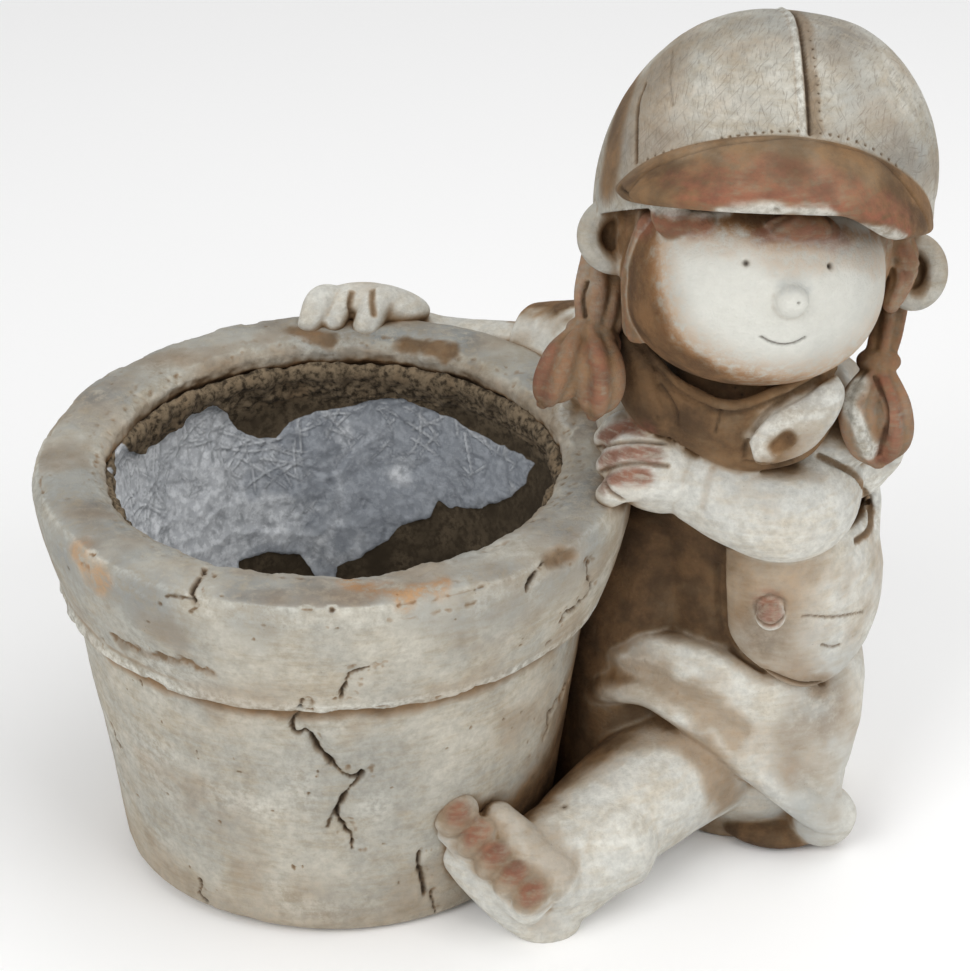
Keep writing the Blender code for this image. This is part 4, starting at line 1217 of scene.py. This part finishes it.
@dataclass
class Head:
    """Leaning head with its peaked cap, ears, fringe and two tied bunches of hair."""
    origin: tuple[float, float, float] = (207, -8, 371)
    yaw: float = 12
    pitch: float = 20
    roll: float = 7
    voxel: float = 0.95
    limit: int = 195000

    SEAM: Spots = ((784, 8), (797, 18), (803, 47), (807, 86), (810, 133))
    SEAM_HOLES: Spots = ((795, 9), (806, 22), (811, 40), (815, 62), (818, 90), (821, 120))
    BRIM_HOLES: Spots = ((641, 165), (651, 157), (668, 151), (700, 143), (735, 136),
                         (765, 132), (798, 131))
    BRIM_HOLES_RIGHT: Spots = ((821, 133), (845, 138), (868, 146), (890, 160), (910, 178))
    SIDE_SEAM: Spots = ((645, 84), (638, 105), (636, 135), (636, 162))
    CAP_LEFT: Spots = ((655, 75), (648, 110), (650, 150))
    SIDE_PANEL: Spots = ((628, 90), (618, 120), (612, 150), (608, 180))
    FAINT_SEAM: Spots = ((672, 52), (670, 80), (672, 105))
    BRIM_SEAM: Spots = ((625, 195), (650, 170), (700, 150), (750, 141), (800, 138),
                        (850, 148), (880, 160), (905, 185), (925, 215), (930, 235))
    BRIM_BAND: Spots = ((690, 188), (740, 182), (790, 186), (840, 195), (880, 208), (905, 222))
    BRIM_STREAK: Spots = ((668, 180), (700, 170), (740, 164), (790, 164), (840, 175))
    BRIM_DEEP: Spots = ((705, 199), (745, 196), (790, 199), (840, 207), (880, 218), (908, 230))
    BRIM_HOLE: Spots = ((776, 211),)
    BRIM_NOTCH: Spots = ((619, 187), (624, 192), (628, 197))
    EYES: Spots = ((746, 263), (831, 266))
    NOSE_HOLE: Spots = ((799, 303),)
    NOSE_MARK: Spots = ((786, 287), (795, 285), (804, 288))
    NOSE_RING: Spots = ((774, 296), (775, 310), (786, 319), (799, 318), (807, 308))
    MOUTH: Spots = ((761, 337), (770, 342), (783, 345), (795, 343), (805, 338))
    FRINGE_SHADE: Spots = ((700, 232), (740, 236), (767, 246), (800, 256), (840, 246),
                           (885, 262))
    LEFT_EAR: Spots = ((622, 215), (628, 228), (622, 245))
    RIGHT_EAR: Spots = ((921, 262), (924, 276), (918, 290))
    EAR_STRAND: Spots = ((903, 250), (908, 264), (903, 280))
    FACE_OUTLINE: Spots = ((655, 222), (647, 258), (651, 290), (657, 315), (669, 338),
                           (688, 356), (712, 371), (740, 384), (775, 390), (812, 386),
                           (848, 374), (880, 350), (900, 320), (910, 290), (912, 256),
                           (900, 234), (870, 222), (838, 226), (815, 232), (790, 234),
                           (766, 230), (745, 222), (700, 220), (676, 222))
    BRIM_EDGE: Spots = ((640, 204), (700, 212), (760, 211), (808, 212), (850, 221), (898, 239))
    FRINGES: tuple[Spots, ...] = (((640, 226), (668, 223), (700, 226)),
                                  ((764, 236), (800, 231), (838, 241)))
    PALE_TRESS: Spots = ((858, 384), (850, 405), (862, 435), (872, 452))
    RED_TRESS: Spots = ((885, 384), (897, 410), (892, 440), (884, 458))
    LEFT_TRESSES: tuple[Spots, ...] = (((548, 350), (540, 375), (545, 392)),
                                       ((590, 350), (600, 372), (592, 398)))
    COLUMN_CRACK: Spots = ((587, 282), (583, 298), (585, 316))
    TRESS_GROOVE: Spots = ((875, 377), (884, 400), (887, 420), (880, 455))

    def frame(self) -> Frame:
        """Where the head's own axes stand."""
        return posed(self.origin, self.yaw, self.pitch, self.roll)

    def skull(self, clay: Clay) -> None:
        """Round face, hair under the cap, nose and ears."""
        on = self.frame()
        clay.ball((-8, -17, -45), (61, 60, 51), Region.FACE, on=on, power=2.2, nu=96, nv=64)
        clay.ball((-2, 8, -24), (69, 70, 64), Region.HAIR, on=on, nu=96, nv=64,
                  locks=(46, 0.03, 3))
        clay.ball((-7, -75, -51), (8.5, 8, 8), Region.FACE, on=on)
        for side, c, wide in ((-1, (-67, 10, -30), 14.5), (1, (75.5, 3, -42), 11)):
            k = np.radians(np.linspace(-155, 165, 24))[:, None]
            ring = np.array(c) + np.hstack([side * (1 + wide * np.cos(k)), -4 - 2 * np.cos(k),
                                            13.5 * np.sin(k)])
            clay.limb(ring, (4.6, 5.2, 5.6, 5.8, 5.8, 5.6, 5.2, 4.6), Region.SKIN,
                      side=(0, 1, 0), on=on, count=72)
            clay.ball(np.array(c) + (0, 3.5, 0), (wide + 1, 6.5, 14), Region.SKIN, on=on)

    def cap(self, clay: Clay) -> None:
        """Dome of the cap and its drooping brim."""
        on = self.frame()
        t = np.linspace(0.03, 1, 60)[:, None]
        a = np.linspace(0, 2 * math.pi, 140, endpoint=False)[None, :]
        t = t * np.radians(99 + 8 * np.sin(a))
        lean = (12.5 * np.clip(np.cos(a), 0, 1) * ease(t / 0.4)
                * np.clip(np.cos(t), 0, 1) ** 0.75)
        dome = np.stack([80 * np.sin(t) * np.cos(a) * (1 - 0.03 * np.sin(2 * t)) + lean,
                         82 * np.sin(t) * np.sin(a), 86 * np.cos(t) - 7], -1)
        inner = dome[::-1] * np.array([0.9, 0.9, 0.86])
        clay.rings(on(np.vstack([dome, inner[:3]])), Region.CAP)

        def brim(u: Array, v: Array) -> Array:
            """Point at angle 70 t - 3 degrees, t = 2u - 1, out from the seam on the cap.

            The seam is at -30 + 48 cos - 9 sin, and the brim reaches 26 (1 - 0.8 t) further.
            """
            t = 2 * u - 1
            phi = np.radians(-3 + 70 * t)
            wide = np.clip(1 - np.abs(t) ** 2.4, 0, 1)
            seam = -30 + 48 * np.cos(phi) - 9 * np.sin(phi)
            edge = -10 - 11.5 * ease((phi - 0.05) / 0.4) + 2 * (1 - wide)
            r = 76.5 + 26 * wide * (1 - 0.8 * t) * v ** 0.9
            z = seam + (edge - seam) * v ** 1.25
            return np.stack([r * np.sin(phi), -r * np.cos(phi), z], -1)
        clay.sheet(brim, lambda u, v: 12 - 3 * v, Region.BRIM, nu=120, nv=36, on=on, power=8)

    def hair(self, clay: Clay) -> None:
        """Fringe, side hair and the two bunches over the collar."""
        on, kind = self.frame(), Region.HAIR
        clay.ball((-2, -67.5, -19), (18, 8, 8.5), kind, turn=(20, 0, 6), on=on,
                  locks=(8, 0.17, 2.5))
        clay.ball((10, -64, -20), (10, 7, 6.5), kind, turn=(10, 20, 20), on=on,
                  locks=(6, 0.17, 2.5))
        clay.ball((-55, -48, -19), (13, 8, 9), kind, turn=(0, 25, -30), on=on,
                  locks=(6, 0.17, 2))
        clay.ball((-44, -56, -20), (9, 6, 7), kind, turn=(0, 30, -25), on=on, locks=(5, 0.17, 2))
        clay.limb([(62, -20, -24), (66, -19, -38), (62, -15, -56)], (6.5, 7, 5), kind, on=on,
                  locks=(6, 0.2, 2.5))
        clay.limb([(67, -12, -28), (70, -10, -40), (66, -8, -54)], (5, 6, 5), kind, on=on,
                  locks=(6, 0.2, 2.5))
        clay.limb([(-60, -24, -22), (-63, -16, -46), (-58, -4, -72)], (7, 8, 8), kind,
                  on=on, locks=(7, 0.2, 2.5))
        lock = dict(side=(1, 0, 0), locks=(5, 0.3, 3.0))
        clay.limb([(133, -6, 334), (129, -20, 316), (126, -29, 304)], (11, 12, 9), kind, **lock)
        clay.limb([(139, -12, 322), (136, -24, 310), (131, -33, 300)], (8, 8, 7), kind, **lock)
        clay.ball((125, -31, 303), (11.5, 10, 5.5), kind)
        clay.ball((133, -37, 297), (7, 7, 8), kind, locks=(6, 0.2, 2))
        clay.limb([(122, -33, 301), (114, -43, 292), (107, -47, 280), (103, -45, 271)],
                  (8, 12, 11, 4), kind, **lock)
        clay.limb([(127, -35, 301), (130, -48, 290), (129, -49, 276), (127, -46, 265)],
                  (8, 12, 11, 4), kind, **lock)
        clay.limb([(273, 0, 304), (269, -14, 292), (265, -26, 286)], (9, 8.5, 8), kind, **lock)
        clay.ball((264, -30, 285), (11, 9.5, 6), kind)
        clay.limb([(261, -36, 280), (253, -46, 268), (257, -49, 251), (265, -43, 236)],
                  (7, 9.5, 8.5, 3), kind, **lock)
        clay.limb([(266, -36, 280), (270, -45, 266), (271, -47, 251), (267, -42, 236)],
                  (7, 10, 9, 3), kind, **lock)

    def build(self) -> Skin:
        """Fuse the head's shells."""
        clay = Clay()
        for shape in (self.skull, self.cap, self.hair):
            shape(clay)
        return fuse(clay, self.voxel, 3)

    def carve(self, skin: Skin) -> None:
        """Seams and stitches of the cap, features of the face."""
        co = skin.co.copy()
        cloth = skin.weight(Region.CAP)
        skin.height += (0.3 - 0.2 * skin.weight(Region.FACE)) * noise(co, 20, 71, 3)
        skin.height += 0.10 * cloth * noise(co, 4, 72, 2)
        skin.press()
        tool = Chisel(skin)
        seam = tool.line(self.SEAM)
        tool.cut(seam - (2.6, 0, 0), 2.4, -1.1)
        tool.cut(seam, 1.7, 2.2, 0.85, 0.15, 1, 0.6)
        tool.stain(Tone.CHALK, seam - (3.4, 0, 0), 2.2, 0.9, 0.4, 6, 12)
        tool.stain(Tone.UMBER, seam + (2.4, 0, 0), 4.5, 0.5, 0.6, 8, 13)
        for holes in (self.SEAM_HOLES, self.BRIM_HOLES, self.BRIM_HOLES_RIGHT):
            tool.stitches(holes, 8.5)
        tool.cuts(((self.SIDE_SEAM, 1.6, 1.5, 0.6, 0.2, 2, 0.8),
                   (self.FAINT_SEAM, 1.3, 0.5, 0.2, 0.4, 3, 0.2),
                   (self.BRIM_SEAM, 1.4, 1.0, 0.35, 0.4, 4, 0.7),
                   (self.BRIM_NOTCH, 2.0, 2.4, 0.9, 0.2, 5),
                   (self.COLUMN_CRACK, 1.5, 1.6, 0.8, 0.3, 6, 0.5),
                   (self.TRESS_GROOVE, 1.8, 1.6, 0.6, 0.3, 7, 0.8)))
        tool.pit(self.BRIM_HOLE, 2.2, 2.0, 0.9)
        tool.pit(self.EYES, 2.4, 2.6, 1.0)
        tool.pit(self.NOSE_HOLE, 1.2, 1.2, 0.9)
        tool.cuts(((self.MOUTH, 1.25, 1.1, 0.75), (self.NOSE_RING, 2.4, 0.5)))
        tool.stains(((Tone.GREY, self.NOSE_MARK, 5, 0.9, 0.5, 5, 1),
                     (Tone.UMBER, self.SIDE_PANEL, 13, 0.85, 0.15, 16, 2),
                     (Tone.UMBER, self.CAP_LEFT, 24, 0.36, 0.4, 16, 14),
                     (Tone.CLAY, self.BRIM_BAND, 11, 0.75, 0.9, 9, 3),
                     (Tone.CLAY, self.BRIM_STREAK, 6, 0.5, 0.9, 8, 4),
                     (Tone.CLAY, self.BRIM_DEEP, 5, 1.0, 0.9, 7, 5),
                     (Tone.OCHRE, self.FRINGE_SHADE, 10, 0.5, 0.5, 12, 8),
                     (Tone.UMBER, self.LEFT_EAR, 8, 0.9, 0.3, 8, 9),
                     (Tone.UMBER, self.RIGHT_EAR, 5.5, 0.75, 0.4, 8, 10)))
        skin.press()

    def dress(self, skin: Skin, hidden: Array) -> None:
        """Wash by region, painted shade in hollows and hidden places; a scratched weave over the
        cap.
        """
        co = skin.co
        wander = noise(co, 22, 81, 4)
        hair, face = skin.weight(Region.HAIR), skin.weight(Region.FACE)
        # Painted shade: umber where a point is hidden from most directions, in small creases and
        # about wide hollows, less on the face.
        skin.add(Tone.UMBER, ease(1.7 * (hidden - 0.38) + 0.3 * wander) * (1 - 0.6 * face))
        skin.add(Tone.UMBER, np.clip(skin.hollow(12, 0.6), 0, 1) * (0.8 - 0.5 * face))
        skin.add(Tone.UMBER, ease(1.1 * skin.hollow(60, 2.6)) * (0.9 - 0.8 * face))
        margin = (inside(SIGHT.spots(co), np.array(self.FACE_OUTLINE, float))
                  + 5 * noise(co, 12, 83, 4))
        skin.add(Tone.OCHRE, face * ease(1.05 - margin / 42) * 0.9)
        skin.add(Tone.UMBER, face * ease(0.75 - margin / 24))
        skin.add(Tone.UMBER, hair * (0.56 + 0.4 * wander))
        # Painted shade in the hair's grooves.
        skin.add(Tone.DARK, hair * np.clip(skin.hollow(8, 0.5), 0, 1) * 0.45)
        skin.add(Tone.OCHRE, hair * 0.5)
        for kind, base, swing in ((Region.BRIM, 0.85, 0.4), (Region.CAP, 0.14, 0.3),
                                  (Region.SKIN, 0.12, 0.4)):
            skin.add(Tone.UMBER, skin.weight(kind) * np.clip(base + swing * wander, 0, 1))
        skin.add(Tone.CLAY, hair * np.clip(-skin.hollow(12, 0.5), 0, 1) * 0.7)
        skin.add(Tone.CHALK, hair * np.clip(-skin.hollow(8, 0.5), 0, 1) * 0.5)
        skin.add(Tone.GREY, skin.weight(Region.CAP) * ease(1.4 * noise(co, 45, 82, 3)) * 0.7)
        skin.add(Tone.CHALK, face * 0.5)
        skin.add(Tone.SMOOTH, face)
        skin.add(Tone.HATCH, skin.weight(Region.CAP))
        tool = Chisel(skin)
        tool.wipe(tool.line(self.BRIM_EDGE), 4.5, 0.8, 0.7, 8, 1)
        tool.wipe(tool.line(self.PALE_TRESS), 6, 0.95, 0.3, 7, 2)
        tool.stains(((Tone.CLAY, self.RED_TRESS, 6, 0.9, 0.4, 7, 3),
                     (Tone.CLAY, self.EAR_STRAND, 3.2, 0.7, 0.4, 6, 4)))
        for k, line in enumerate(self.FRINGES + self.LEFT_TRESSES):
            tool.stain(Tone.CLAY, tool.line(line), 6.5, 0.85, 0.5, 7, 5 + k)


# Finishes

def paint(red: int, green: int, blue: int) -> tuple[float, float, float, float]:
    """Linear colour of an 8 bit one as it looks on a screen."""
    s = np.array([red, green, blue]) / 255
    c = np.where(s <= 0.04045, s / 12.92, ((s + 0.055) / 1.055) ** 2.4)
    return (*(float(x) for x in c), 1.0)


DAMP_GREY = paint(128, 131, 130)
RUST = paint(176, 134, 88)
AMBER_WASH_AND_SHADE = paint(214, 182, 140)
DEEP_UMBER = paint(80, 58, 38)
OLD_BRICK = paint(120, 76, 60)
CHALK_WHITE = paint(226, 227, 220)
GRIT = paint(70, 58, 46)
SCRATCH = paint(104, 92, 80)
CRACK_AND_SHADE_BLACK = paint(32, 23, 15)
FELT_SHADE = paint(100, 106, 114)
FIBRE_HIGHLIGHT = paint(236, 239, 242)
FIBRE_SHADE = paint(84, 88, 94)
RUSTY_SOIL = paint(126, 104, 78)


@dataclass
class Wiring:
    """Adds nodes to a tree; an input that is a socket is linked, others are set."""
    tree: bpy.types.NodeTree

    def node(self, kind: str, inputs: Optional[dict] = None, **settings: object) -> bpy.types.Node:
        """Make one node.

        Args:
            kind: Its Blender type name.
            inputs: Values or sockets by input name or index.
            settings: Properties of the node.
        Returns:
            The node.
        """
        made = self.tree.nodes.new(kind)
        for key, value in settings.items():
            setattr(made, key, value)
        for key, value in (inputs or {}).items():
            if isinstance(value, bpy.types.NodeSocket):
                self.tree.links.new(value, made.inputs[key])
            else:
                made.inputs[key].default_value = value
        return made

    def maths(self, operation: str, a: object, b: object = 0.0, clamp: bool = False
              ) -> bpy.types.NodeSocket:
        """One sum of two values."""
        return self.node("ShaderNodeMath", {0: a, 1: b}, operation=operation,
                         use_clamp=clamp).outputs[0]

    def ramp(self, value: object, low: float, high: float, to: tuple[float, float] = (0, 1)
             ) -> bpy.types.NodeSocket:
        """Smooth step of a value between low and high."""
        return self.node("ShaderNodeMapRange", {
            "Value": value, "From Min": low, "From Max": high, "To Min": to[0],
            "To Max": to[1]}, interpolation_type="SMOOTHSTEP").outputs[0]

    def mix(self, share: object, a: object, b: object, blend: str = "MIX"
            ) -> bpy.types.NodeSocket:
        """Blend two colours."""
        made = self.node("ShaderNodeMix", data_type="RGBA", blend_type=blend)
        for place, value in ((0, share), (6, a), (7, b)):
            if isinstance(value, bpy.types.NodeSocket):
                self.tree.links.new(value, made.inputs[place])
            else:
                made.inputs[place].default_value = value
        return made.outputs[2]

    def cloud(self, where: object, scale: float, detail: float = 4, rough: float = 0.55
              ) -> bpy.types.NodeSocket:
        """Cloudy noise of a scale, in turns per metre."""
        return self.node("ShaderNodeTexNoise", {"Vector": where, "Scale": scale,
                                                "Detail": detail, "Roughness": rough}).outputs[0]


def hatching(w: Wiring, where: bpy.types.NodeSocket) -> bpy.types.NodeSocket:
    """Mask of fine scratches: the largest of three long thin clouds, turned three ways."""
    lines = None
    for angle, shift in ((0.75, 0.0), (-0.7, 3.0), (0.1, 7.0)):
        turned = w.node("ShaderNodeMapping", {"Vector": where, "Rotation": (0, angle, 0.3),
                                              "Location": (shift, shift, 0)}).outputs[0]
        thin = w.node("ShaderNodeMapping", {"Vector": turned, "Scale": (1800, 120, 45)}
                      ).outputs[0]
        line = w.ramp(w.cloud(thin, 1.0, 2, 0.5), 0.60, 0.70)
        lines = line if lines is None else w.maths("MAXIMUM", lines, line)
    return lines


def casting_group() -> bpy.types.NodeTree:
    """Node group 'weathered_casting': cement, washes, patches, dirt, painted shade and painted
    highlights by attribute.

    Cement is pale mixed with warm and cool clouds; each tone attribute then lays its own
    colour over it, with an edge broken up by noise. Height is grain, pits and weave.
    """
    tree = bpy.data.node_groups.new("weathered_casting", "ShaderNodeTree")
    face = tree.interface
    for name in ("Tone", "Mark", "Grain", "Pale", "Warm", "Cool", "Umber", "Clay"):
        face.new_socket(name, in_out="INPUT", socket_type="NodeSocketColor")
    face.new_socket("Mottle", in_out="INPUT", socket_type="NodeSocketFloat")
    face.new_socket("Color", in_out="OUTPUT", socket_type="NodeSocketColor")
    face.new_socket("Roughness", in_out="OUTPUT", socket_type="NodeSocketFloat")
    face.new_socket("Height", in_out="OUTPUT", socket_type="NodeSocketFloat")
    w = Wiring(tree)
    given = w.node("NodeGroupInput").outputs
    where = w.node("ShaderNodeTexCoord").outputs["Object"]
    tone, mark, grain = (w.node("ShaderNodeSeparateColor", {0: given[k]}).outputs
                         for k in ("Tone", "Mark", "Grain"))
    broad, middle = w.cloud(where, 14, 5), w.cloud(where, 46, 6, 0.62)
    fine, speck = w.cloud(where, 210, 8, 0.7), w.cloud(where, 800, 4, 0.7)
    stretch = w.node("ShaderNodeMapping", {"Vector": where, "Scale": (70, 70, 380)}).outputs[0]
    streak = w.cloud(stretch, 1.0, 6, 0.62)
    calm = w.maths("SUBTRACT", 1.0, w.maths("MULTIPLY", grain[1], 0.75))

    colour = w.mix(w.ramp(broad, 0.36, 0.66), given["Pale"], given["Cool"])
    warmth = w.maths("MULTIPLY", w.ramp(w.maths("ADD", w.maths("MULTIPLY", middle, 0.6), w.maths(
        "MULTIPLY", streak, 0.4)), 0.42, 0.66), given["Mottle"])
    colour = w.mix(w.maths("MULTIPLY", warmth, calm), colour, given["Warm"])
    colour = w.mix(w.maths("MULTIPLY", mark[2], w.ramp(fine, 0.3, 0.6), True), colour,
                   DAMP_GREY)
    colour = w.mix(w.maths("MULTIPLY", mark[1], w.ramp(fine, 0.32, 0.6), True), colour,
                   RUST)
    # Tone.UMBER holds brown washes and painted shade: an amber tint multiplied in, then deep umber
    # where it is strong.
    wash_and_shade = w.maths("ADD", tone[0], w.maths("MULTIPLY", w.maths("SUBTRACT", fine, 0.5), 0.5))
    wash_and_shade = w.maths("MULTIPLY", wash_and_shade, w.ramp(tone[0], 0.0, 0.25), True)
    colour = w.mix(wash_and_shade, colour, AMBER_WASH_AND_SHADE, "MULTIPLY")
    deep = w.mix(w.ramp(middle, 0.35, 0.65), given["Umber"], DEEP_UMBER)
    soak_and_shade = w.maths("MULTIPLY", w.maths("POWER", wash_and_shade, 1.5), 0.94)
    colour = w.mix(soak_and_shade, colour, deep)
    redden = w.maths("MULTIPLY", tone[1], w.ramp(w.maths("ADD", w.maths(
        "MULTIPLY", streak, 0.6), w.maths("MULTIPLY", fine, 0.4)), 0.38, 0.56, (0.2, 1)), True)
    brick = w.mix(w.ramp(middle, 0.38, 0.62), given["Clay"], OLD_BRICK)
    colour = w.mix(w.maths("MULTIPLY", redden, 0.88), colour, brick)
    # Chalky wear and the painted highlight on the pot's band, from Tone.CHALK.
    chalk_and_highlight = w.maths("MULTIPLY", tone[2], w.ramp(fine, 0.38, 0.62, (0.0, 1.0)), True)
    chalk_and_highlight = w.maths("MULTIPLY", w.maths("MAXIMUM", chalk_and_highlight, grain[1]), w.maths(
        "SUBTRACT", 1.0, mark[1]), True)
    colour = w.mix(w.maths("MULTIPLY", w.maths("MULTIPLY", chalk_and_highlight, 0.55), w.ramp(
        wash_and_shade, 0.85, 0.0)), colour, CHALK_WHITE)
    shade = w.ramp(fine, 0.25, 0.75, (0.80, 1.12))
    grit = w.mix(calm, (1, 1, 1, 1), w.node("ShaderNodeCombineColor", {
        0: shade, 1: shade, 2: shade}).outputs[0])
    colour = w.mix(1.0, colour, grit, "MULTIPLY")
    dirt = w.maths("MULTIPLY", w.ramp(speck, 0.64, 0.72), w.ramp(middle, 0.38, 0.6), True)
    colour = w.mix(w.maths("MULTIPLY", w.maths("MULTIPLY", dirt, calm), 0.5), colour,
                   GRIT)

    scratch = w.maths("MULTIPLY", hatching(w, where), grain[0], True)
    colour = w.mix(w.maths("MULTIPLY", scratch, 0.32), colour, SCRATCH)
    # Cracks, holes, and painted shade in the hair's grooves and on the shirt, from the dark tone.
    colour = w.mix(mark[0], colour, CRACK_AND_SHADE_BLACK)
    lift = w.maths("SUBTRACT", fine, w.maths("MULTIPLY", scratch, 0.12))
    lift = w.maths("ADD", lift, w.maths("MULTIPLY", speck, 0.22))
    rough = w.ramp(fine, 0.3, 0.7, (0.9, 0.72))
    w.node("NodeGroupOutput", {"Color": colour, "Roughness": rough, "Height": lift})
    return tree


def bare_material(name: str) -> tuple[bpy.types.Material, Wiring]:
    """New material with an empty node tree, and the wiring to fill it."""
    made = bpy.data.materials.new(name)
    made.use_nodes = True
    made.node_tree.nodes.clear()
    return made, Wiring(made.node_tree)


@dataclass(frozen=True)
class Finish:
    """Painted cement: its colours, how mottled it is and how coarse its grain."""
    name: str
    pale: tuple = paint(190, 185, 172)
    warm: tuple = paint(162, 148, 124)
    cool: tuple = paint(164, 162, 153)
    umber: tuple = paint(126, 94, 62)
    clay: tuple = paint(142, 90, 68)
    mottle: float = 0.6
    coarse: float = 0.0016

    def material(self, group: bpy.types.NodeTree) -> bpy.types.Material:
        """Make the material round the shared group."""
        made, w = bare_material(self.name)
        inputs = {label.title(): w.node("ShaderNodeAttribute", attribute_name=label).outputs[0]
                  for label in LAYERS}
        inputs |= {"Pale": self.pale, "Warm": self.warm, "Cool": self.cool,
                   "Umber": self.umber, "Clay": self.clay, "Mottle": self.mottle}
        cast = w.node("ShaderNodeGroup", inputs, node_tree=group)
        bump = w.node("ShaderNodeBump", {"Strength": 0.8, "Distance": self.coarse,
                                         "Height": cast.outputs["Height"]})
        shader = w.node("ShaderNodeBsdfPrincipled", {
            "Base Color": cast.outputs["Color"], "Roughness": cast.outputs["Roughness"],
            "Normal": bump.outputs[0], "Specular IOR Level": 0.3})
        w.node("ShaderNodeOutputMaterial", {"Surface": shader.outputs[0]})
        return made


@dataclass(frozen=True)
class MatFinish:
    """Blue-grey fibre mat with earth where it has worn away."""
    name: str = "fibre_mat"
    bright: tuple = paint(232, 235, 238)
    grey: tuple = paint(166, 171, 178)
    earth: tuple = paint(128, 112, 90)
    dark: tuple = paint(56, 46, 32)

    def material(self, group: bpy.types.NodeTree) -> bpy.types.Material:
        """Make the material. The shared group isn't used, as no cement shows here."""
        made, w = bare_material(self.name)
        where = w.node("ShaderNodeTexCoord").outputs["Object"]
        tone, mark, grain = (w.node("ShaderNodeSeparateColor", {0: w.node(
            "ShaderNodeAttribute", attribute_name=label).outputs[0]}).outputs
            for label in LAYERS)
        broad, fine = w.cloud(where, 40, 5, 0.6), w.cloud(where, 260, 8, 0.65)
        # Tone.CHALK pales the felt: frosted patches, and painted light towards the left.
        felt = w.mix(w.ramp(w.maths("ADD", w.maths("MULTIPLY", tone[2], 0.55), w.maths(
            "MULTIPLY", broad, 0.7)), 0.3, 0.95), self.grey, self.bright)
        felt = w.mix(w.ramp(fine, 0.62, 0.42, (0, 0.35)), felt, FELT_SHADE)
        # Painted highlight on raised strands, and painted shade beside them and in pressed ones.
        felt = w.mix(w.maths("MULTIPLY", grain[0], 0.6), felt, FIBRE_HIGHLIGHT)
        felt = w.mix(w.maths("MULTIPLY", mark[0], 0.7), felt, FIBRE_SHADE)
        soil = w.mix(w.maths("MULTIPLY", w.ramp(fine, 0.35, 0.6), tone[0], True), self.dark,
                     self.earth)
        soil = w.mix(w.maths("MULTIPLY", mark[1], w.ramp(fine, 0.4, 0.6), True), soil,
                     RUSTY_SOIL)
        colour = w.mix(w.ramp(mark[2], 0.35, 0.65), soil, felt)
        bump = w.node("ShaderNodeBump", {"Strength": 0.7, "Distance": 0.0012, "Height": fine})
        shader = w.node("ShaderNodeBsdfPrincipled", {
            "Base Color": colour, "Roughness": w.ramp(mark[2], 0.3, 0.7, (0.92, 0.6)),
            "Normal": bump.outputs[0], "Specular IOR Level": 0.35})
        w.node("ShaderNodeOutputMaterial", {"Surface": shader.outputs[0]})
        return made


# The studio

@dataclass(frozen=True)
class Studio:
    """Pale floor, soft lamps and the camera at the photograph's angle."""
    floor_radius: float = 9.0
    sensor: float = 36.0

    def floor(self) -> None:
        """A wide pale disc under the statue."""
        a = np.linspace(0, 2 * math.pi, 96, endpoint=False)
        ring = np.stack([np.cos(a), np.sin(a), 0 * a], 1) * self.floor_radius
        mesh = bpy.data.meshes.new("floor")
        mesh.from_pydata(ring.tolist(), [], [list(range(96))])
        made = new_object("floor", mesh)
        look = bpy.data.materials.new("pale_floor")
        look.use_nodes = True
        shader = look.node_tree.nodes["Principled BSDF"]
        shader.inputs["Base Color"].default_value = paint(250, 250, 250)
        shader.inputs["Roughness"].default_value = 0.9
        mesh.materials.append(look)

    def lamp(self, name: str, place: Sequence[float], size: float, power: float,
             aim: Sequence[float] = (0.08, 0, 0.15)) -> None:
        """One square soft box turned to the statue."""
        light = bpy.data.lights.new(name, "AREA")
        light.size, light.energy = size, power
        made = bpy.data.objects.new(name, light)
        made.location = place
        made.rotation_euler = (Vector(aim) - Vector(place)).to_track_quat("-Z", "Y").to_euler()
        bpy.context.scene.collection.objects.link(made)

    def lights(self) -> None:
        """Large key at the upper left, fill at the right, and an even pale sky."""
        self.lamp("key", (-1.4, -1.9, 2.0), 1.6, 35)
        self.lamp("fill", (1.8, -1.6, 1.9), 1.8, 28)
        self.lamp("top", (0.7, 0.1, 2.5), 1.8, 15)
        world = bpy.data.worlds.new("sky")
        world.use_nodes = True
        world.node_tree.nodes["Background"].inputs[0].default_value = (1, 1, 1, 1)
        world.node_tree.nodes["Background"].inputs[1].default_value = 0.55
        bpy.context.scene.world = world
        bpy.context.scene.view_settings.view_transform = "Standard"

    def camera(self, sight: Sight) -> None:
        """The camera that the photograph's places were measured for."""
        lens = bpy.data.cameras.new("camera")
        lens.sensor_width = self.sensor
        lens.lens = sight.focal / sight.height * self.sensor
        lens.clip_start, lens.clip_end = 0.05, 60
        made = bpy.data.objects.new("camera", lens)
        made.location = sight.eye() * MM
        made.rotation_euler = (math.radians(90 - sight.elevation), 0, 0)
        bpy.context.scene.collection.objects.link(made)
        bpy.context.scene.camera = made


POT_FINISH = Finish("weathered_cement")
BODY_FINISH = Finish("worn_paint", pale=paint(216, 214, 205), warm=paint(188, 175, 152),
                     cool=paint(198, 198, 192))
HEAD_FINISH = Finish("painted_cement", pale=paint(198, 195, 185))


def main() -> None:
    """Build, carve and dress every piece, then the studio, and note the sizes."""
    logging.basicConfig(level=logging.INFO, format="%(name)s: %(message)s")
    pot = Pot()
    parts = {"statue_pot": (pot, POT_FINISH), "pot_lining": (Lining(pot), MatFinish()),
             "statue_body": (Body(pot), BODY_FINISH), "statue_head": (Head(), HEAD_FINISH)}
    skins = {}
    for name, (part, _) in parts.items():
        skins[name] = part.build()
        part.carve(skins[name])
        LOG.info("%s carved: %d points", name, len(skins[name].co))
    group = casting_group()
    for (name, (part, finish)), hidden in zip(parts.items(), recess(list(skins.values()))):
        skin = skins[name]
        part.dress(skin, hidden)
        made = skin.object(name, part.limit)
        made.data.materials.append(finish.material(group))
        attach(made, "root")
        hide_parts(NODE)
        LOG.info("%s: %d faces", name, len(made.data.polygons))
    studio = Studio()
    studio.floor()
    studio.lights()
    studio.camera(SIGHT)


if __name__ == "__main__":
    main()
